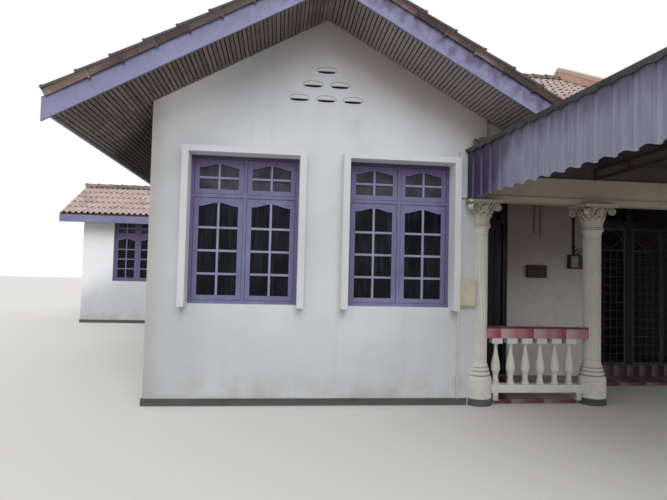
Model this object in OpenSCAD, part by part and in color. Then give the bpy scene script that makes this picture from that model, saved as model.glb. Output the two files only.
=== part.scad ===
// Single-storey bungalow with a gabled front wing, a tiled main roof, a small
// veranda on round columns and a metal-roofed carport. Millimetres, +Z up.
// X = 0 is the gable's centre line, Y = 0 the front wall's face, Z = 0 the ground.

/* [Plan] */
// Width of the front wing over its walls
wing_w = 3800; // [3600:50:4400]
// Depth from the front wall to the annex's front wall
wing_d = 8400; // [8000:100:9500]
// Clear width of the main part, from the wing to the party wall
main_w = 3950; // [3900:50:4600]
// Depth of the whole house over its walls
house_d = 11000; // [10500:100:12000]
// Width of the annex at the back left
annex_w = 3700; // [3000:100:4200]
// Depth of the veranda, from the front wall's face to its back wall
veranda_d = 1450; // [1300:10:1600]
// Thickness of the plastered brick walls
wall_t = 150; // [115:5:200]
// How far the main ridge lies in front of the middle of the house, doubled
ridge_shift = 200; // [0:50:400]

/* [Floors] */
// Height of the painted plinth band
plinth_h = 78; // [60:2:120]
// How far the plinth band stands out of the wall
plinth_out = 15; // [10:1:20]
// Height of the indoor floor above the ground
floor_z = 50; // [50:5:80]
// Height of the veranda floor above the ground
veranda_z = 45; // [40:1:50]
// Distance of the floor's edge beside the entrance behind the front wall's face
step_y = 980; // [800:20:1100]

/* [Roof] */
// Pitch of the wing's roof in degrees
wing_pitch = 29; // [28:0.5:30]
// Pitch of the main roof in degrees
main_pitch = 28; // [27.5:0.5:28.5]
// Height of the boarded soffit at the gable's peak
gable_z = 4350; // [4300:10:4450]
// Height of the main roof's tiles above the front wall's face
main_z0 = 3215; // [3160:5:3230]
// Thickness of the tiles with their battens, square to the slope
tile_t = 80; // [60:5:100]
// Depth of the bearers between soffit and battens, square to the slope
bearer_h = 150; // [120:5:170]
// Width of a bearer
bearer_w = 50; // [38:1:60]
// Thickness of the soffit's boards
soffit_t = 15; // [12:1:20]
// How far the roof stands out over the gable
verge_out = 740; // [650:10:800]
// How far the wing's roof stands out over its left wall
eave_out = 740; // [700:10:780]
// How far the wing's roof stands out over the veranda
eave_in = 500; // [440:10:540]
// How far the main roof stands out in front of the front wall's face
front_out = 300; // [280:10:340]
// How far the roofs stand out at the back and over the annex
rear_out = 450; // [350:10:550]
// Depth of the bargeboards, square to the slope
barge_h = 200; // [180:5:230]
// How far the bargeboards reach below the soffit
barge_drop = 8; // [5:1:15]
// Thickness of bargeboards and eave boards
board_t = 25; // [20:1:32]
// How far the bargeboards run past the eaves
barge_past = 95; // [60:5:120]
// Length of one verge tile showing down the slope
tile_gauge = 305; // [280:5:340]
// Height of the party wall above the tiles
parapet_h = 250; // [180:10:320]
// Radius of the ridge and hip tiles
cap_r = 110; // [90:5:130]

/* [Windows] */
// Width of a window opening
win_w = 1200; // [1000:20:1300]
// Height of a window opening
win_h = 1650; // [1500:10:1750]
// Height of the window sills above the ground
sill_z = 1100; // [1000:10:1150]
// Width of the wall between the two front windows
win_gap = 560; // [480:10:700]
// Width of the timber frame's members
frame_w = 36; // [30:1:45]
// Depth of the timber frame
frame_d = 75; // [60:1:90]
// How far the frame stands behind the wall's face
frame_set = 70; // [30:1:74]
// Width of the middle post and the transom
mullion_w = 36; // [30:1:45]
// Share of the opening's height below the transom
transom_at = 0.727; // [0.7:0.001:0.75]
// Width of the sash stiles and rails
sash_w = 57; // [50:1:62]
// Thickness of the sashes
sash_t = 38; // [30:1:45]
// Thickness of the glass
glass_t = 5; // [4:1:6]
// Rise of the curved heads of the sashes
arch_rise = 42; // [20:1:50]
// Thickness of the plaster surround round a front window
surround_t = 72; // [55:1:90]
// How far a surround stands out of the wall
surround_out = 140; // [100:5:170]
// How far the surround's legs run below the sill
surround_drop = 25; // [0:1:50]

/* [Vents] */
// Width of one hooded vent in the gable
vent_w = 238; // [200:2:260]
// Spacing of the vents in a row
vent_pitch = 306; // [290:2:330]
// Height from one row of vents to the next
vent_step = 165; // [150:5:180]
// Height of the lowest row of vents
vent_z = 3400; // [3300:10:3450]
// Height of a vent's slot
vent_slot = 26; // [20:1:32]

/* [Veranda] */
// Radius of the column shafts
shaft_r = 99; // [90:1:110]
// Radius of the round base block of a column
base_r = 155; // [145:1:165]
// Width of the square slab on top of a column
abacus_w = 400; // [340:5:430]
// Height of a column's base block
base_h = 228; // [210:1:245]
// Height of the rings above the base block
rings_h = 177; // [150:1:200]
// Height of a column's capital
capital_h = 313; // [300:1:320]
// Thickness of the slab on top of a capital
abacus_h = 40; // [30:1:45]
// Radius of the scrolls at a capital's corners
scroll_r = 45; // [38:1:48]
// Width of a scroll
scroll_w = 62; // [50:1:70]
// Radius of the rosette on each face of a capital
rosette_r = 38; // [30:1:42]
// Leaves in each row round a capital
leaves = 12; // [8:1:12]
// How far the leaves' tips stand out of the bell
leaf_out = 16; // [10:1:20]
// Depth of the flutes in the shafts
flute_d = 7; // [5:1:9]
// Flutes round a shaft
flutes = 20; // [16:2:24]
// Distance of the column axes behind the front wall's face
column_y = 70; // [60:5:80]
// Distance from the wing to the free column's axis
column_x = 1358; // [1300:2:1420]
// How far the axes of the end columns lie inside the walls
column_in = 50; // [40:2:60]
// Height of the underside of the veranda beam
beam_z = 2350; // [2330:5:2400]
// Height of the veranda beam
beam_h = 300; // [260:5:310]
// Height of the beam's lower band
beam_band = 66; // [60:1:110]
// How far the beam's lower band stands out in front of the beam
beam_out = 20; // [15:1:35]
// Thickness of the veranda's ceiling
ceiling_t = 12; // [9:1:20]
// Height of the top of the balustrade's rail
rail_z = 890; // [850:5:940]
// Height of the rail's section
rail_h = 130; // [110:5:140]
// Width of the rail's section
rail_w = 120; // [110:5:140]
// Height of the balustrade's lower beam
curb_h = 91; // [80:1:100]
// Gap between the veranda floor and the lower beam
curb_gap = 89; // [70:1:100]
// Balusters in the row
balusters = 6; // [5:1:6]
// Distance from the wing to the first baluster
baluster_x = 164; // [160:1:176]
// Spacing of the balusters
baluster_pitch = 181; // [178:1:186]
// Largest radius of a baluster
baluster_r = 52; // [44:1:56]
// Width of the square block on top of a baluster
baluster_cap = 120; // [100:2:130]

/* [Doors] */
// Width of the side door's opening
door_w = 935; // [900:5:980]
// Width of the side door's posts
jamb_w = 55; // [45:1:65]
// Height of the top of the doorways' clear openings
door_top = 2240; // [2150:5:2260]
// Height of the head of both doorways
head_z = 2620; // [2560:5:2640]
// Thickness of the side door's leaf
leaf_t = 40; // [36:1:45]
// Clearance round the side door's leaf
leaf_gap = 6; // [5:1:8]
// Radius of the side door's hinges
hinge_r = 7; // [6:0.5:9]
// Radius of a hinge's pin
pin_r = 4; // [3:0.5:5]
// Height of one half of a hinge
hinge_h = 50; // [40:1:60]
// Distance from the entrance's frame to the party wall
entry_in = 53; // [40:1:150]
// Height of the tiled kerb below the entrance's grille
kerb_h = 204; // [180:2:220]
// Clear width of one panel of the entrance's grille
panel_w = 475; // [460:1:480]
// Width of the entrance's timber posts
post_w = 100; // [80:5:110]
// Diameter of a grille bar
bar_d = 12; // [10:1:14]
// Bars in one grille panel
panel_bars = 4; // [3:1:5]

/* [Carport] */
// Length of the carport in front of the house
carport_l = 4800; // [4500:50:5200]
// Skew of the carport's left side in degrees
carport_skew = 5; // [3:0.5:7]
// Distance from the gable's centre line to the carport's left side, at the wall
carport_x = 1680; // [1640:10:1720]
// Height of the lower edge of the corrugated sides
side_z = 2350; // [2300:10:2380]
// Height of the corrugated sides
side_h = 560; // [500:10:570]
// Spacing of the ribs in the corrugated sides
rib_pitch = 197; // [170:1:210]
// Depth of the ribs
rib_h = 28; // [20:1:32]
// Thickness of the metal sheets
sheet_t = 4; // [3:1:5]
// Width of the flashing on top of the sides
cap_w = 110; // [90:5:130]
// Size of the square steel tubes
tube = 38; // [30:1:45]
// Depth of the roof trusses
truss_h = 150; // [130:5:160]
// Size of the square steel posts
post = 90; // [75:5:110]

/* [Party wall] */
// Thickness of the coping on the party wall
coping_h = 90; // [60:5:110]
// How far the coping stands out over the roof
coping_out = 20; // [10:1:30]

/* [Fittings] */
// Width of the meter cover on the front wall
cover_w = 221; // [180:1:260]
// Height of the meter cover
cover_h = 304; // [250:1:340]
// Height of the meter cover above the ground
cover_z = 1120; // [1000:10:1200]
// Depth of the meter cover
cover_d = 60; // [40:1:90]
// Distance from the meter cover to the wing's corner
cover_in = 126; // [110:1:160]
// Diameter of the conduits on the walls
conduit_d = 20; // [16:1:25]
// Distance from the meter box on the veranda's back wall to the entrance
meter_in = 220; // [180:10:300]
// Width of the meter box
meter_w = 224; // [180:2:260]
// Height of the meter box
meter_h = 204; // [180:2:260]
// Height of the meter box above the ground
meter_z = 1610; // [1500:10:1700]
// Depth of the meter box and of the switch panel
meter_d = 70; // [50:5:90]
// Width of the switch panel on the veranda's back wall
panel_box_w = 295; // [240:5:320]
// Height of the switch panel
panel_box_h = 184; // [150:2:220]
// Height of the switch panel above the ground
panel_box_z = 1466; // [1400:2:1500]
// Distance from the switch panel to the meter box
panel_box_in = 346; // [330:2:400]
// Width of the strip on the wall where the carport's side ends
strip_w = 90; // [70:5:110]

/* [Hidden] */
$fn = 48;
seat = 0.3;
valley_seat = 0.7;
ridge_y = (house_d - ridge_shift) / 2;
t1 = tan(wing_pitch);
t2 = tan(main_pitch);
half_w = wing_w / 2;
party_x = half_w + main_w;
annex_x = -half_w - annex_w;
eave_x = half_w + eave_out;
eave_r = half_w + eave_in;
tile_v1 = tile_t / cos(wing_pitch);
tile_v2 = tile_t / cos(main_pitch);
apex_z = gable_z + (soffit_t + bearer_h + tile_t) / cos(wing_pitch);
main_ridge_z = main_z0 + t2 * ridge_y;
annex_ridge_y = (wing_d + house_d) / 2;
annex_ridge_z = main_ridge_z - t2 * (annex_ridge_y - ridge_y);
wing_valley_y = (apex_z - main_z0) / t2;
hip_x = (main_ridge_z - apex_z) / t1;
annex_hip_x = -(apex_z - annex_ridge_z) / t1;
sky = main_ridge_z + 2 * parapet_h;
win_x = win_gap / 2 + win_w / 2;
side_win_y = wing_d * 0.55;
annex_win_x = annex_x + annex_w * 0.37;
rear_win_a = annex_x + annex_w / 2;
rear_win_b = party_x - main_w / 2;
beam_top = beam_z + beam_h;
column_top = beam_z - seat;
entry_w = 3 * panel_w + post_w + 2 * frame_w;
entry_x = party_x - entry_in - entry_w;
meter_x = entry_x - meter_in - meter_w;
panel_box_x = meter_x - panel_box_in - panel_box_w;
cover_x = half_w - cover_in - cover_w;
ceiling_z = beam_top - ceiling_t;
curb_z = veranda_z + curb_gap;
back_y = veranda_d + wall_t;
truss_z = beam_top;
purlin_z = truss_z + truss_h;
roof_z = purlin_z + tube;
fix = 0.5;
bead_h = 24;

// Heights of the tiles' upper and lower faces
function wing_top(x) = apex_z - t1 * abs(x);
function wing_under(x) = wing_top(x) - tile_v1 - seat;
function main_top(y) = y < ridge_y ? main_z0 + t2 * y : main_ridge_z - t2 * (y - ridge_y);
function main_under(y) = main_top(y) - tile_v2 - seat;
function annex_top(y) = annex_ridge_z - t2 * abs(y - annex_ridge_y);
function annex_under(y) = annex_top(y) - tile_v2 - seat;
function soffit_under(x) = gable_z - t1 * abs(x);
// A rounded bead on a turned outline, h high from z and standing out by out at radius r
function bead(r, z, h, out) = [for (i = [0 : 6]) [r + out * sin(30 * i), z + h * (1 - cos(30 * i)) / 2]];
// A smooth step from a to b as u goes from 0 to 1
function ease(a, b, u) = a + (b - a) * (1 - cos(180 * u)) / 2;
// Where the wing's slope at x meets the main roof and the annex's roof
function valley_y(x) = (wing_top(x) - main_z0) / t2;
function annex_valley_y(x) = annex_ridge_y - (annex_ridge_z - wing_top(x)) / t2;
// Plan position of the carport's left side at a distance in front of the house
function side_x(y) = carport_x - y * tan(carport_skew);

// A profile drawn in the X-Z plane, from y0 to y1
module xz_wall(points, y0, y1) {
    translate([0, y1, 0]) rotate([90, 0, 0]) linear_extrude(y1 - y0) polygon(points);
}

// A profile drawn in the Y-Z plane, from x0 to x1
module yz_wall(points, x0, x1) {
    translate([x0, 0, 0]) rotate([90, 0, 90]) linear_extrude(x1 - x0) polygon(points);
}

module box(x0, x1, y0, y1, z0, z1) {
    translate([x0, y0, z0]) cube([x1 - x0, y1 - y0, z1 - z0]);
}

// Hole for a window in a wall that runs along X, centred at x
module window_hole(x, y0) {
    box(x - win_w / 2, x + win_w / 2, y0 - 10, y0 + wall_t + 10, sill_z, sill_z + win_h);
}

// Floors

module floor_slab() {
    color("dimgray") linear_extrude(floor_z) union() {
        translate([-half_w + wall_t, wall_t]) square([wing_w - 2 * wall_t, house_d - 2 * wall_t]);
        translate([half_w - wall_t - fix, back_y])
            square([main_w + wall_t + fix, house_d - wall_t - back_y]);
        translate([annex_x + wall_t, wing_d + wall_t])
            square([annex_w + fix, house_d - wing_d - 2 * wall_t]);
        translate([half_w, veranda_d]) square([door_w, wall_t + fix]);
    }
}

// Feet of the three columns in plan
module column_plan(r) {
    for (x = [half_w - column_in, half_w + column_x, party_x + column_in])
        translate([x, column_y]) circle(r = r, $fn = 96);
}

// Painted band at the foot of the walls, one strip a wall, and round the columns' feet
module plinth() {
    o = plinth_out;
    r = base_r + 6;
    g = 1;
    color("slategray") linear_extrude(plinth_h) {
        translate([-half_w - o, -o]) square([wing_w + o - column_in - r - g, o]);
        translate([-half_w - o, g]) square([o, wing_d - o - 2 * g]);
        translate([annex_x - o, wing_d - o]) square([annex_w, o]);
        translate([annex_x - o, wing_d + g]) square([o, house_d - wing_d - 2 * g]);
        translate([annex_x - o, house_d]) square([party_x + wall_t - annex_x + o, o]);
        difference() {
            column_plan(r);
            square([half_w, veranda_d]);
            translate([party_x, -front_out]) square([wall_t + r, veranda_d]);
        }
    }
}

module veranda_floor() {
    x1 = half_w + column_x + 52;
    y0 = column_y - 20;
    color("rosybrown") linear_extrude(veranda_z) difference() {
        polygon([[half_w, y0], [x1, y0], [x1, step_y], [party_x, step_y], [party_x, veranda_d],
            [half_w, veranda_d]]);
        column_plan(base_r + 6);
    }
}

// Walls

module front_wall() {
    color("whitesmoke") difference() {
        xz_wall([[-half_w, 0], [half_w, 0], [half_w, wing_under(half_w)], [0, wing_under(0)],
            [-half_w, wing_under(half_w)]], 0, wall_t);
        for (s = [-1, 1]) window_hole(s * win_x, 0);
        vent_rows() box(-vent_w * 0.4, vent_w * 0.4, -10, wall_t + 10, 0, vent_slot);
    }
}

module wing_left_wall() {
    x0 = -half_w;
    x1 = -half_w + wall_t;
    color("whitesmoke") difference() {
        xz_wall([[x0, 0], [x1, 0], [x1, wing_under(x1)], [x0, wing_under(x0)]], wall_t, wing_d + wall_t);
        translate([x0, side_win_y, 0]) rotate([0, 0, 90]) window_hole(0, -wall_t);
    }
}

module wing_right_wall() {
    x0 = half_w - wall_t;
    x1 = half_w;
    color("whitesmoke")
        xz_wall([[x0, 0], [x1, 0], [x1, wing_under(x1)], [x0, wing_under(x0)]], wall_t, back_y);
}

module annex_front_wall() {
    y0 = wing_d;
    y1 = wing_d + wall_t;
    top0 = annex_under(y0) - valley_seat;
    top1 = annex_under(y1) - valley_seat;
    color("whitesmoke") difference() {
        yz_wall([[y0, 0], [y1, 0], [y1, top1], [y0, top0]], annex_x, -half_w);
        window_hole(annex_win_x, y0);
    }
}

module annex_left_wall() {
    y0 = wing_d + wall_t;
    y1 = house_d - wall_t;
    color("whitesmoke") yz_wall([[y0, 0], [y1, 0], [y1, annex_under(y1)],
        [annex_ridge_y, annex_under(annex_ridge_y)], [y0, annex_under(y0)]], annex_x, annex_x + wall_t);
}

module rear_wall() {
    y0 = house_d - wall_t;
    y1 = house_d;
    color("whitesmoke") difference() {
        yz_wall([[y0, 0], [y1, 0], [y1, main_under(y1)], [y0, main_under(y0)]], annex_x, party_x);
        window_hole(rear_win_a, y0);
        window_hole(rear_win_b, y0);
    }
}

module party_wall() {
    y0 = -front_out;
    y2 = house_d + rear_out;
    up = parapet_h - coping_h;
    color("burlywood") yz_wall([[y0, 0], [house_d, 0], [house_d, main_under(house_d)], [y2, main_under(y2)],
        [y2, main_top(y2) + up], [ridge_y, main_ridge_z + up], [y0, main_top(y0) + up]],
        party_x, party_x + wall_t);
}

// Coping that follows the party wall's top
module party_coping() {
    y0 = -front_out;
    y2 = house_d + rear_out;
    low = parapet_h - coping_h + seat;
    under = [[y0, main_top(y0) + low], [ridge_y, main_ridge_z + low], [y2, main_top(y2) + low]];
    upper = [[y2, main_top(y2) + parapet_h], [ridge_y, main_ridge_z + parapet_h],
        [y0, main_top(y0) + parapet_h]];
    color("linen") yz_wall(concat(under, upper), party_x - coping_out, party_x + wall_t);
}

module veranda_back_wall() {
    color("whitesmoke") {
        box(half_w + door_w, entry_x, veranda_d, back_y, 0, head_z);
        box(entry_x + entry_w, party_x, veranda_d, back_y, 0, head_z);
    }
}

module veranda_wall_over() {
    color("whitesmoke") yz_wall([[veranda_d, head_z], [back_y, head_z], [back_y, main_under(back_y)],
        [veranda_d, main_under(veranda_d)]], half_w, party_x);
}

module entrance_kerb() {
    color("rosybrown") box(entry_x, entry_x + entry_w, veranda_d, back_y, 0, kerb_h);
}

module veranda_beam() {
    color("tan") union() {
        box(half_w, party_x, 0, wall_t, beam_z, beam_top);
        box(half_w, party_x, -beam_out, 0, beam_z, beam_z + beam_band);
    }
}

module veranda_upper_wall() {
    y0 = wall_t / 5;
    low = main_under(y0);
    color("tan") xz_wall([[half_w, beam_top], [party_x, beam_top], [party_x, low], [eave_r, low],
        [eave_r, wing_under(eave_r)], [half_w, wing_under(half_w)]], y0, wall_t);
}

module veranda_ceiling() {
    color("whitesmoke") box(half_w, party_x, wall_t, veranda_d, beam_top - ceiling_t, beam_top);
}

// Roof

// One roof slope: the layer under a sloped plane, cut to an outline in plan
module slope(outline, pivot, turn) {
    reach = 2 * (house_d + main_w);
    intersection() {
        linear_extrude(sky) polygon(outline);
        translate(pivot) rotate(turn) translate([-reach, -reach, -tile_t])
            cube([2 * reach, 2 * reach, tile_t]);
    }
}

module wing_roof_left() {
    y0 = -verge_out + board_t;
    color("sienna") slope([[0, y0], [0, wing_valley_y], [hip_x, ridge_y], [annex_hip_x, annex_ridge_y],
        [-eave_x, annex_valley_y(eave_x)], [-eave_x, y0]], [0, 0, apex_z], [0, -wing_pitch, 0]);
}

module wing_roof_right() {
    y0 = -verge_out + board_t;
    color("sienna") slope([[0, y0], [eave_r, y0], [eave_r, valley_y(eave_r)], [0, wing_valley_y]],
        [0, 0, apex_z], [0, wing_pitch, 0]);
}

module main_roof_front() {
    x0 = eave_r + board_t;
    color("rosybrown") slope([[0, wing_valley_y], [eave_r, valley_y(eave_r)], [x0, valley_y(eave_r)],
        [x0, -front_out], [party_x, -front_out], [party_x, ridge_y], [hip_x, ridge_y]],
        [0, 0, main_z0], [main_pitch, 0, 0]);
}

module rear_roof() {
    x0 = annex_x - rear_out;
    y1 = house_d + rear_out;
    color("rosybrown") slope([[annex_hip_x, annex_ridge_y], [hip_x, ridge_y], [party_x, ridge_y],
        [party_x, y1], [x0, y1], [x0, annex_ridge_y]], [0, ridge_y, main_ridge_z], [-main_pitch, 0, 0]);
}

module annex_roof_front() {
    x0 = annex_x - rear_out;
    x1 = -eave_x - board_t;
    y0 = wing_d - rear_out;
    yv = annex_valley_y(eave_x);
    color("sienna") slope([[x0, annex_ridge_y], [x0, y0], [x1, y0], [x1, yv], [-eave_x, yv],
        [annex_hip_x, annex_ridge_y]], [0, annex_ridge_y, annex_ridge_z], [main_pitch, 0, 0]);
}

// Everything below a sloped plane
module below(pivot, turn) {
    reach = 2 * (house_d + main_w);
    translate(pivot) rotate(turn) translate([-reach, -reach, -reach]) cube([2 * reach, 2 * reach, reach]);
}

// The space under the tiles' upper faces: wing, main part and annex
module roof_mass() {
    main_rear = [0, ridge_y, main_ridge_z];
    intersection() {
        below([0, 0, apex_z], [0, -wing_pitch, 0]);
        below([0, 0, apex_z], [0, wing_pitch, 0]);
        box(-house_d, house_d, -house_d, ridge_y, 0, sky);
    }
    intersection() {
        below([0, 0, main_z0], [main_pitch, 0, 0]);
        below(main_rear, [-main_pitch, 0, 0]);
        below([0, 0, apex_z], [0, -wing_pitch, 0]);
    }
    intersection() {
        below([0, annex_ridge_y, annex_ridge_z], [main_pitch, 0, 0]);
        below(main_rear, [-main_pitch, 0, 0]);
    }
}

// Half-round tiles in a line from a to b
module cap_line(a, b) {
    d = b - a;
    length = norm(d);
    translate(a) rotate([0, acos(d[2] / length), atan2(d[1], d[0])]) cylinder(r = cap_r, h = length);
}

// Ridge and hip tiles bedded on the slopes
module ridge_caps() {
    peak = [0, wing_valley_y, apex_z];
    hip = [hip_x, ridge_y, main_ridge_z];
    annex = [annex_hip_x, annex_ridge_y, annex_ridge_z];
    color("saddlebrown") difference() {
        union() {
            cap_line([0, -verge_out + board_t + 1, apex_z], peak);
            cap_line(peak, hip);
            cap_line(hip, annex);
            cap_line(hip, [party_x - coping_out - 1, ridge_y, main_ridge_z]);
            cap_line([annex_x - rear_out, annex_ridge_y, annex_ridge_z], annex);
            for (p = [peak, hip, annex]) translate(p) sphere(r = cap_r + 8);
        }
        translate([0, 0, seat]) roof_mass();
    }
}

// End of the veranda roof's lowest tiles, where they run on in front of the wing
module eave_tiles() {
    x0 = carport_x - 70;
    x1 = half_w + 200;
    color("saddlebrown") intersection() {
        box(x0, x1, -front_out, 0, 0, sky);
        translate([0, 0, main_z0 - 45]) rotate([main_pitch, 0, 0])
            translate([0, -2 * front_out, -tile_t * 0.7]) cube([2 * x1, 3 * front_out, tile_t * 0.7]);
    }
}

// A sloped board or layer on the wing: depth square to the slope from h0 to h1 above the soffit's face
module wing_layer(side, x0, x1, y0, y1, h0, h1) {
    c = cos(wing_pitch);
    low = gable_z + h0 / c;
    high = gable_z + h1 / c;
    xz_wall([[side * x0, low - t1 * x0], [side * x1, low - t1 * x1], [side * x1, high - t1 * x1],
        [side * x0, high - t1 * x0]], y0, y1);
}

module soffits() {
    y0 = -verge_out + board_t;
    color("dimgray") {
        wing_layer(-1, fix, eave_x, y0, 0, 0, soffit_t);
        wing_layer(-1, half_w, eave_x, 1, wing_d - 1, 0, soffit_t);
        wing_layer(1, fix, eave_r, y0, 0, 0, soffit_t);
    }
}

module verge_bearers() {
    y0 = -verge_out + board_t;
    top = soffit_t + bearer_h - seat;
    rows = [y0, y0 + (verge_out - board_t - bearer_w) / 2, -bearer_w];
    color("peru") for (y = rows) {
        wing_layer(-1, bearer_w / 2, eave_x, y, y + bearer_w, soffit_t, top);
        wing_layer(1, bearer_w / 2, eave_r, y, y + bearer_w, soffit_t, top);
    }
}

module bargeboards() {
    color("mediumpurple") for (side = [-1, 1]) {
        x1 = (side < 0 ? eave_x : eave_r) + barge_past;
        wing_layer(side, fix, x1, -verge_out, -verge_out + board_t, -barge_drop, barge_h - barge_drop);
    }
}

// Verge tiles lapped down the slope over a bargeboard
module verge_run(side) {
    c = cos(wing_pitch);
    run = tile_gauge * c;
    x1 = (side < 0 ? eave_x : eave_r) + barge_past;
    n = ceil(x1 / run);
    edge = (barge_h - barge_drop) / c;
    low = 8;
    high = 30;
    lap = 35;
    teeth = [for (i = [0 : n - 1]) let (a = max(i * run, fix), b = min((i + 1) * run, x1))
        each [[side * a, wing_top(a) + low], [side * b, wing_top(b) + high]]];
    foot = [[side * x1, gable_z + edge - t1 * x1], [side * fix, gable_z + edge - t1 * fix]];
    xz_wall(concat(teeth, foot), -verge_out - lap, -verge_out + board_t);
}

module verge_tiles() {
    color("saddlebrown") {
        verge_run(-1);
        verge_run(1);
    }
}

module eave_boards() {
    under = soffit_under(eave_x) - 50;
    top = wing_under(eave_x);
    y0 = -verge_out + board_t;
    yr = house_d + rear_out;
    ya = wing_d - rear_out;
    board_h = 180;
    color("mediumpurple") {
        box(-eave_x - board_t, -eave_x, y0, wing_d, under, top);
        box(eave_r, eave_r + board_t, y0, 0, soffit_under(eave_r) - 50, wing_under(eave_r));
        box(annex_x - rear_out, party_x, yr - board_t, yr, main_under(yr) - board_h, main_under(yr));
        box(annex_x - rear_out, -eave_x - board_t - 1, ya, ya + board_t,
            annex_under(ya) - board_h, annex_under(ya));
    }
}

// Windows

// The plaster surround at a front window, open below
module surround(x) {
    w = win_w / 2 + surround_t;
    top = sill_z + win_h + surround_t * 0.9;
    difference() {
        box(x - w, x + w, -surround_out, 0, sill_z - surround_drop, top);
        box(x - win_w / 2, x + win_w / 2, -surround_out - 10, 10,
            sill_z - surround_drop - 10, sill_z + win_h);
    }
}

module window_surrounds() {
    color("white") for (side = [-1, 1]) surround(side * win_x);
}

// Fixed frame: outer members, middle post and transom, in a window's own axes
module window_frame() {
    w = win_w / 2;
    zt = sill_z + win_h * transom_at;
    color("slateblue") translate([0, frame_set, 0]) difference() {
        box(-w, w, 0, frame_d, sill_z, sill_z + win_h);
        for (s = [-1, 1]) {
            x0 = s < 0 ? -w + frame_w : mullion_w / 2;
            x1 = s < 0 ? -mullion_w / 2 : w - frame_w;
            box(x0, x1, -10, frame_d + 10, sill_z + frame_w, zt - mullion_w / 2);
            box(x0, x1, -10, frame_d + 10, zt + mullion_w / 2, sill_z + win_h - frame_w);
        }
    }
}

// Outline of the opening in a sash w wide and h high, g inside its edge: an ogee head on straight sides
function sash_hole(w, h, g) = let (n = 8, c = w / 2 - sash_w - g, top = h - sash_w - g)
    concat([[w / 2 - c, sash_w + g], [w / 2 + c, sash_w + g]], [for (i = [0 : 2 * n])
        let (u = 1 - i / n) [w / 2 + c * u, ease(top, top - arch_rise, abs(u))]]);

// One sash, its lower left corner at the origin
module sash(w, h) {
    rotate([90, 0, 0]) translate([0, 0, -sash_t]) linear_extrude(sash_t) difference() {
        square([w, h]);
        polygon(sash_hole(w, h, 0));
    }
}

// The four sashes of one window: two opening casements below two top lights
module window_sashes() {
    w = win_w / 2 - frame_w - mullion_w / 2;
    zt = sill_z + win_h * transom_at;
    z0 = sill_z + frame_w;
    z1 = zt + mullion_w / 2;
    g = 0.5;
    color("slateblue") for (s = [-1, 1]) {
        x0 = s < 0 ? -win_w / 2 + frame_w : mullion_w / 2;
        translate([x0 + g, frame_set + 8, z0 + g]) sash(w - 2 * g, zt - mullion_w / 2 - z0 - 2 * g);
        translate([x0 + g, frame_set + 8, z1 + g]) sash(w - 2 * g, sill_z + win_h - frame_w - z1 - 2 * g);
    }
}

// The four panes stand in the middle of their sashes
module window_glass() {
    w = win_w / 2 - frame_w - mullion_w / 2 - 1;
    zt = sill_z + win_h * transom_at;
    z0 = sill_z + frame_w + 0.5;
    z1 = zt + mullion_w / 2 + 0.5;
    y = frame_set + 8 + sash_t / 2;
    color("darkslategray", 0.5) for (s = [-1, 1]) {
        x0 = s < 0 ? -win_w / 2 + frame_w : mullion_w / 2;
        translate([x0 + 0.5, y, z0]) pane(w, zt - mullion_w / 2 - z0 - 0.5);
        translate([x0 + 0.5, y, z1]) pane(w, sill_z + win_h - frame_w - z1 - 0.5);
    }
}

module pane(w, h) {
    translate([0, glass_t / 2, 0]) rotate([90, 0, 0]) linear_extrude(glass_t) polygon(sash_hole(w, h, 0.5));
}

module front_frames() {
    for (s = [-1, 1]) translate([s * win_x, 0, 0]) window_frame();
}

module front_sashes() {
    for (s = [-1, 1]) translate([s * win_x, 0, 0]) window_sashes();
}

module front_glass() {
    for (s = [-1, 1]) translate([s * win_x, 0, 0]) window_glass();
}

module back_windows() {
    translate([annex_win_x, wing_d, 0]) framed_window();
    translate([-half_w, side_win_y, 0]) rotate([0, 0, -90]) framed_window();
    for (x = [rear_win_a, rear_win_b]) translate([x, house_d, 0]) rotate([0, 0, 180]) framed_window();
}

module framed_window() {
    window_frame();
    window_sashes();
}

module back_glass() {
    translate([annex_win_x, wing_d, 0]) window_glass();
    translate([-half_w, side_win_y, 0]) rotate([0, 0, -90]) window_glass();
    for (x = [rear_win_a, rear_win_b]) translate([x, house_d, 0]) rotate([0, 0, 180]) window_glass();
}

// Places its children at each vent: three in the lowest row, then two, then one
module vent_rows() {
    for (row = [0 : 2], i = [0 : 2 - row])
        translate([(i - (2 - row) / 2) * vent_pitch, 0, vent_z + row * vent_step]) children();
}

// A segment-shaped hood over each vent's slot
module vent_hoods() {
    rise = 48;
    r = (vent_w * vent_w / 4 + rise * rise) / (2 * rise);
    color("whitesmoke") vent_rows() translate([0, 0, vent_slot]) intersection() {
        translate([0, 0, rise - r]) rotate([90, 0, 0]) cylinder(r = r, h = 22, $fn = 96);
        box(-vent_w, vent_w, -22, 0, 0, rise);
    }
}

// Columns and balustrade

// A point at radius r and angle a
function polar(r, a) = [r * cos(a), r * sin(a)];

// Outline of a scroll's band in its own plane: X outwards, Y up, curling in clockwise round its eye
function scroll_band() = let (n = 26, turns = 1.6, thick = 0.26 * scroll_r,
    turn = [for (i = [0 : n]) 110 - 360 * turns * i / n],
    radius = [for (i = [0 : n]) scroll_r * (1 - 0.6 * i / n)])
    concat([for (i = [0 : n]) polar(radius[i], turn[i])],
        [for (i = [n : -1 : 0]) polar(radius[i] - thick, turn[i])]);

// A scroll below a corner of the slab, with the stalk that feeds it, r from the column's axis
module scroll(r, z) {
    s = scroll_r;
    root = shaft_r - r;
    under = s * 0.7;
    stalk = [[root, -s], [root, -s * 0.2], [-s, s], [0, s], [0, under], [-under, under]];
    translate([r, 0, z]) rotate([90, 0, 0]) translate([0, 0, -scroll_w / 2]) {
        linear_extrude(scroll_w) polygon(scroll_band());
        linear_extrude(scroll_w) polygon(stalk);
        translate([0, 0, scroll_w * 0.12]) cylinder(r = s * 0.9, h = scroll_w * 0.76);
    }
}

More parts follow.
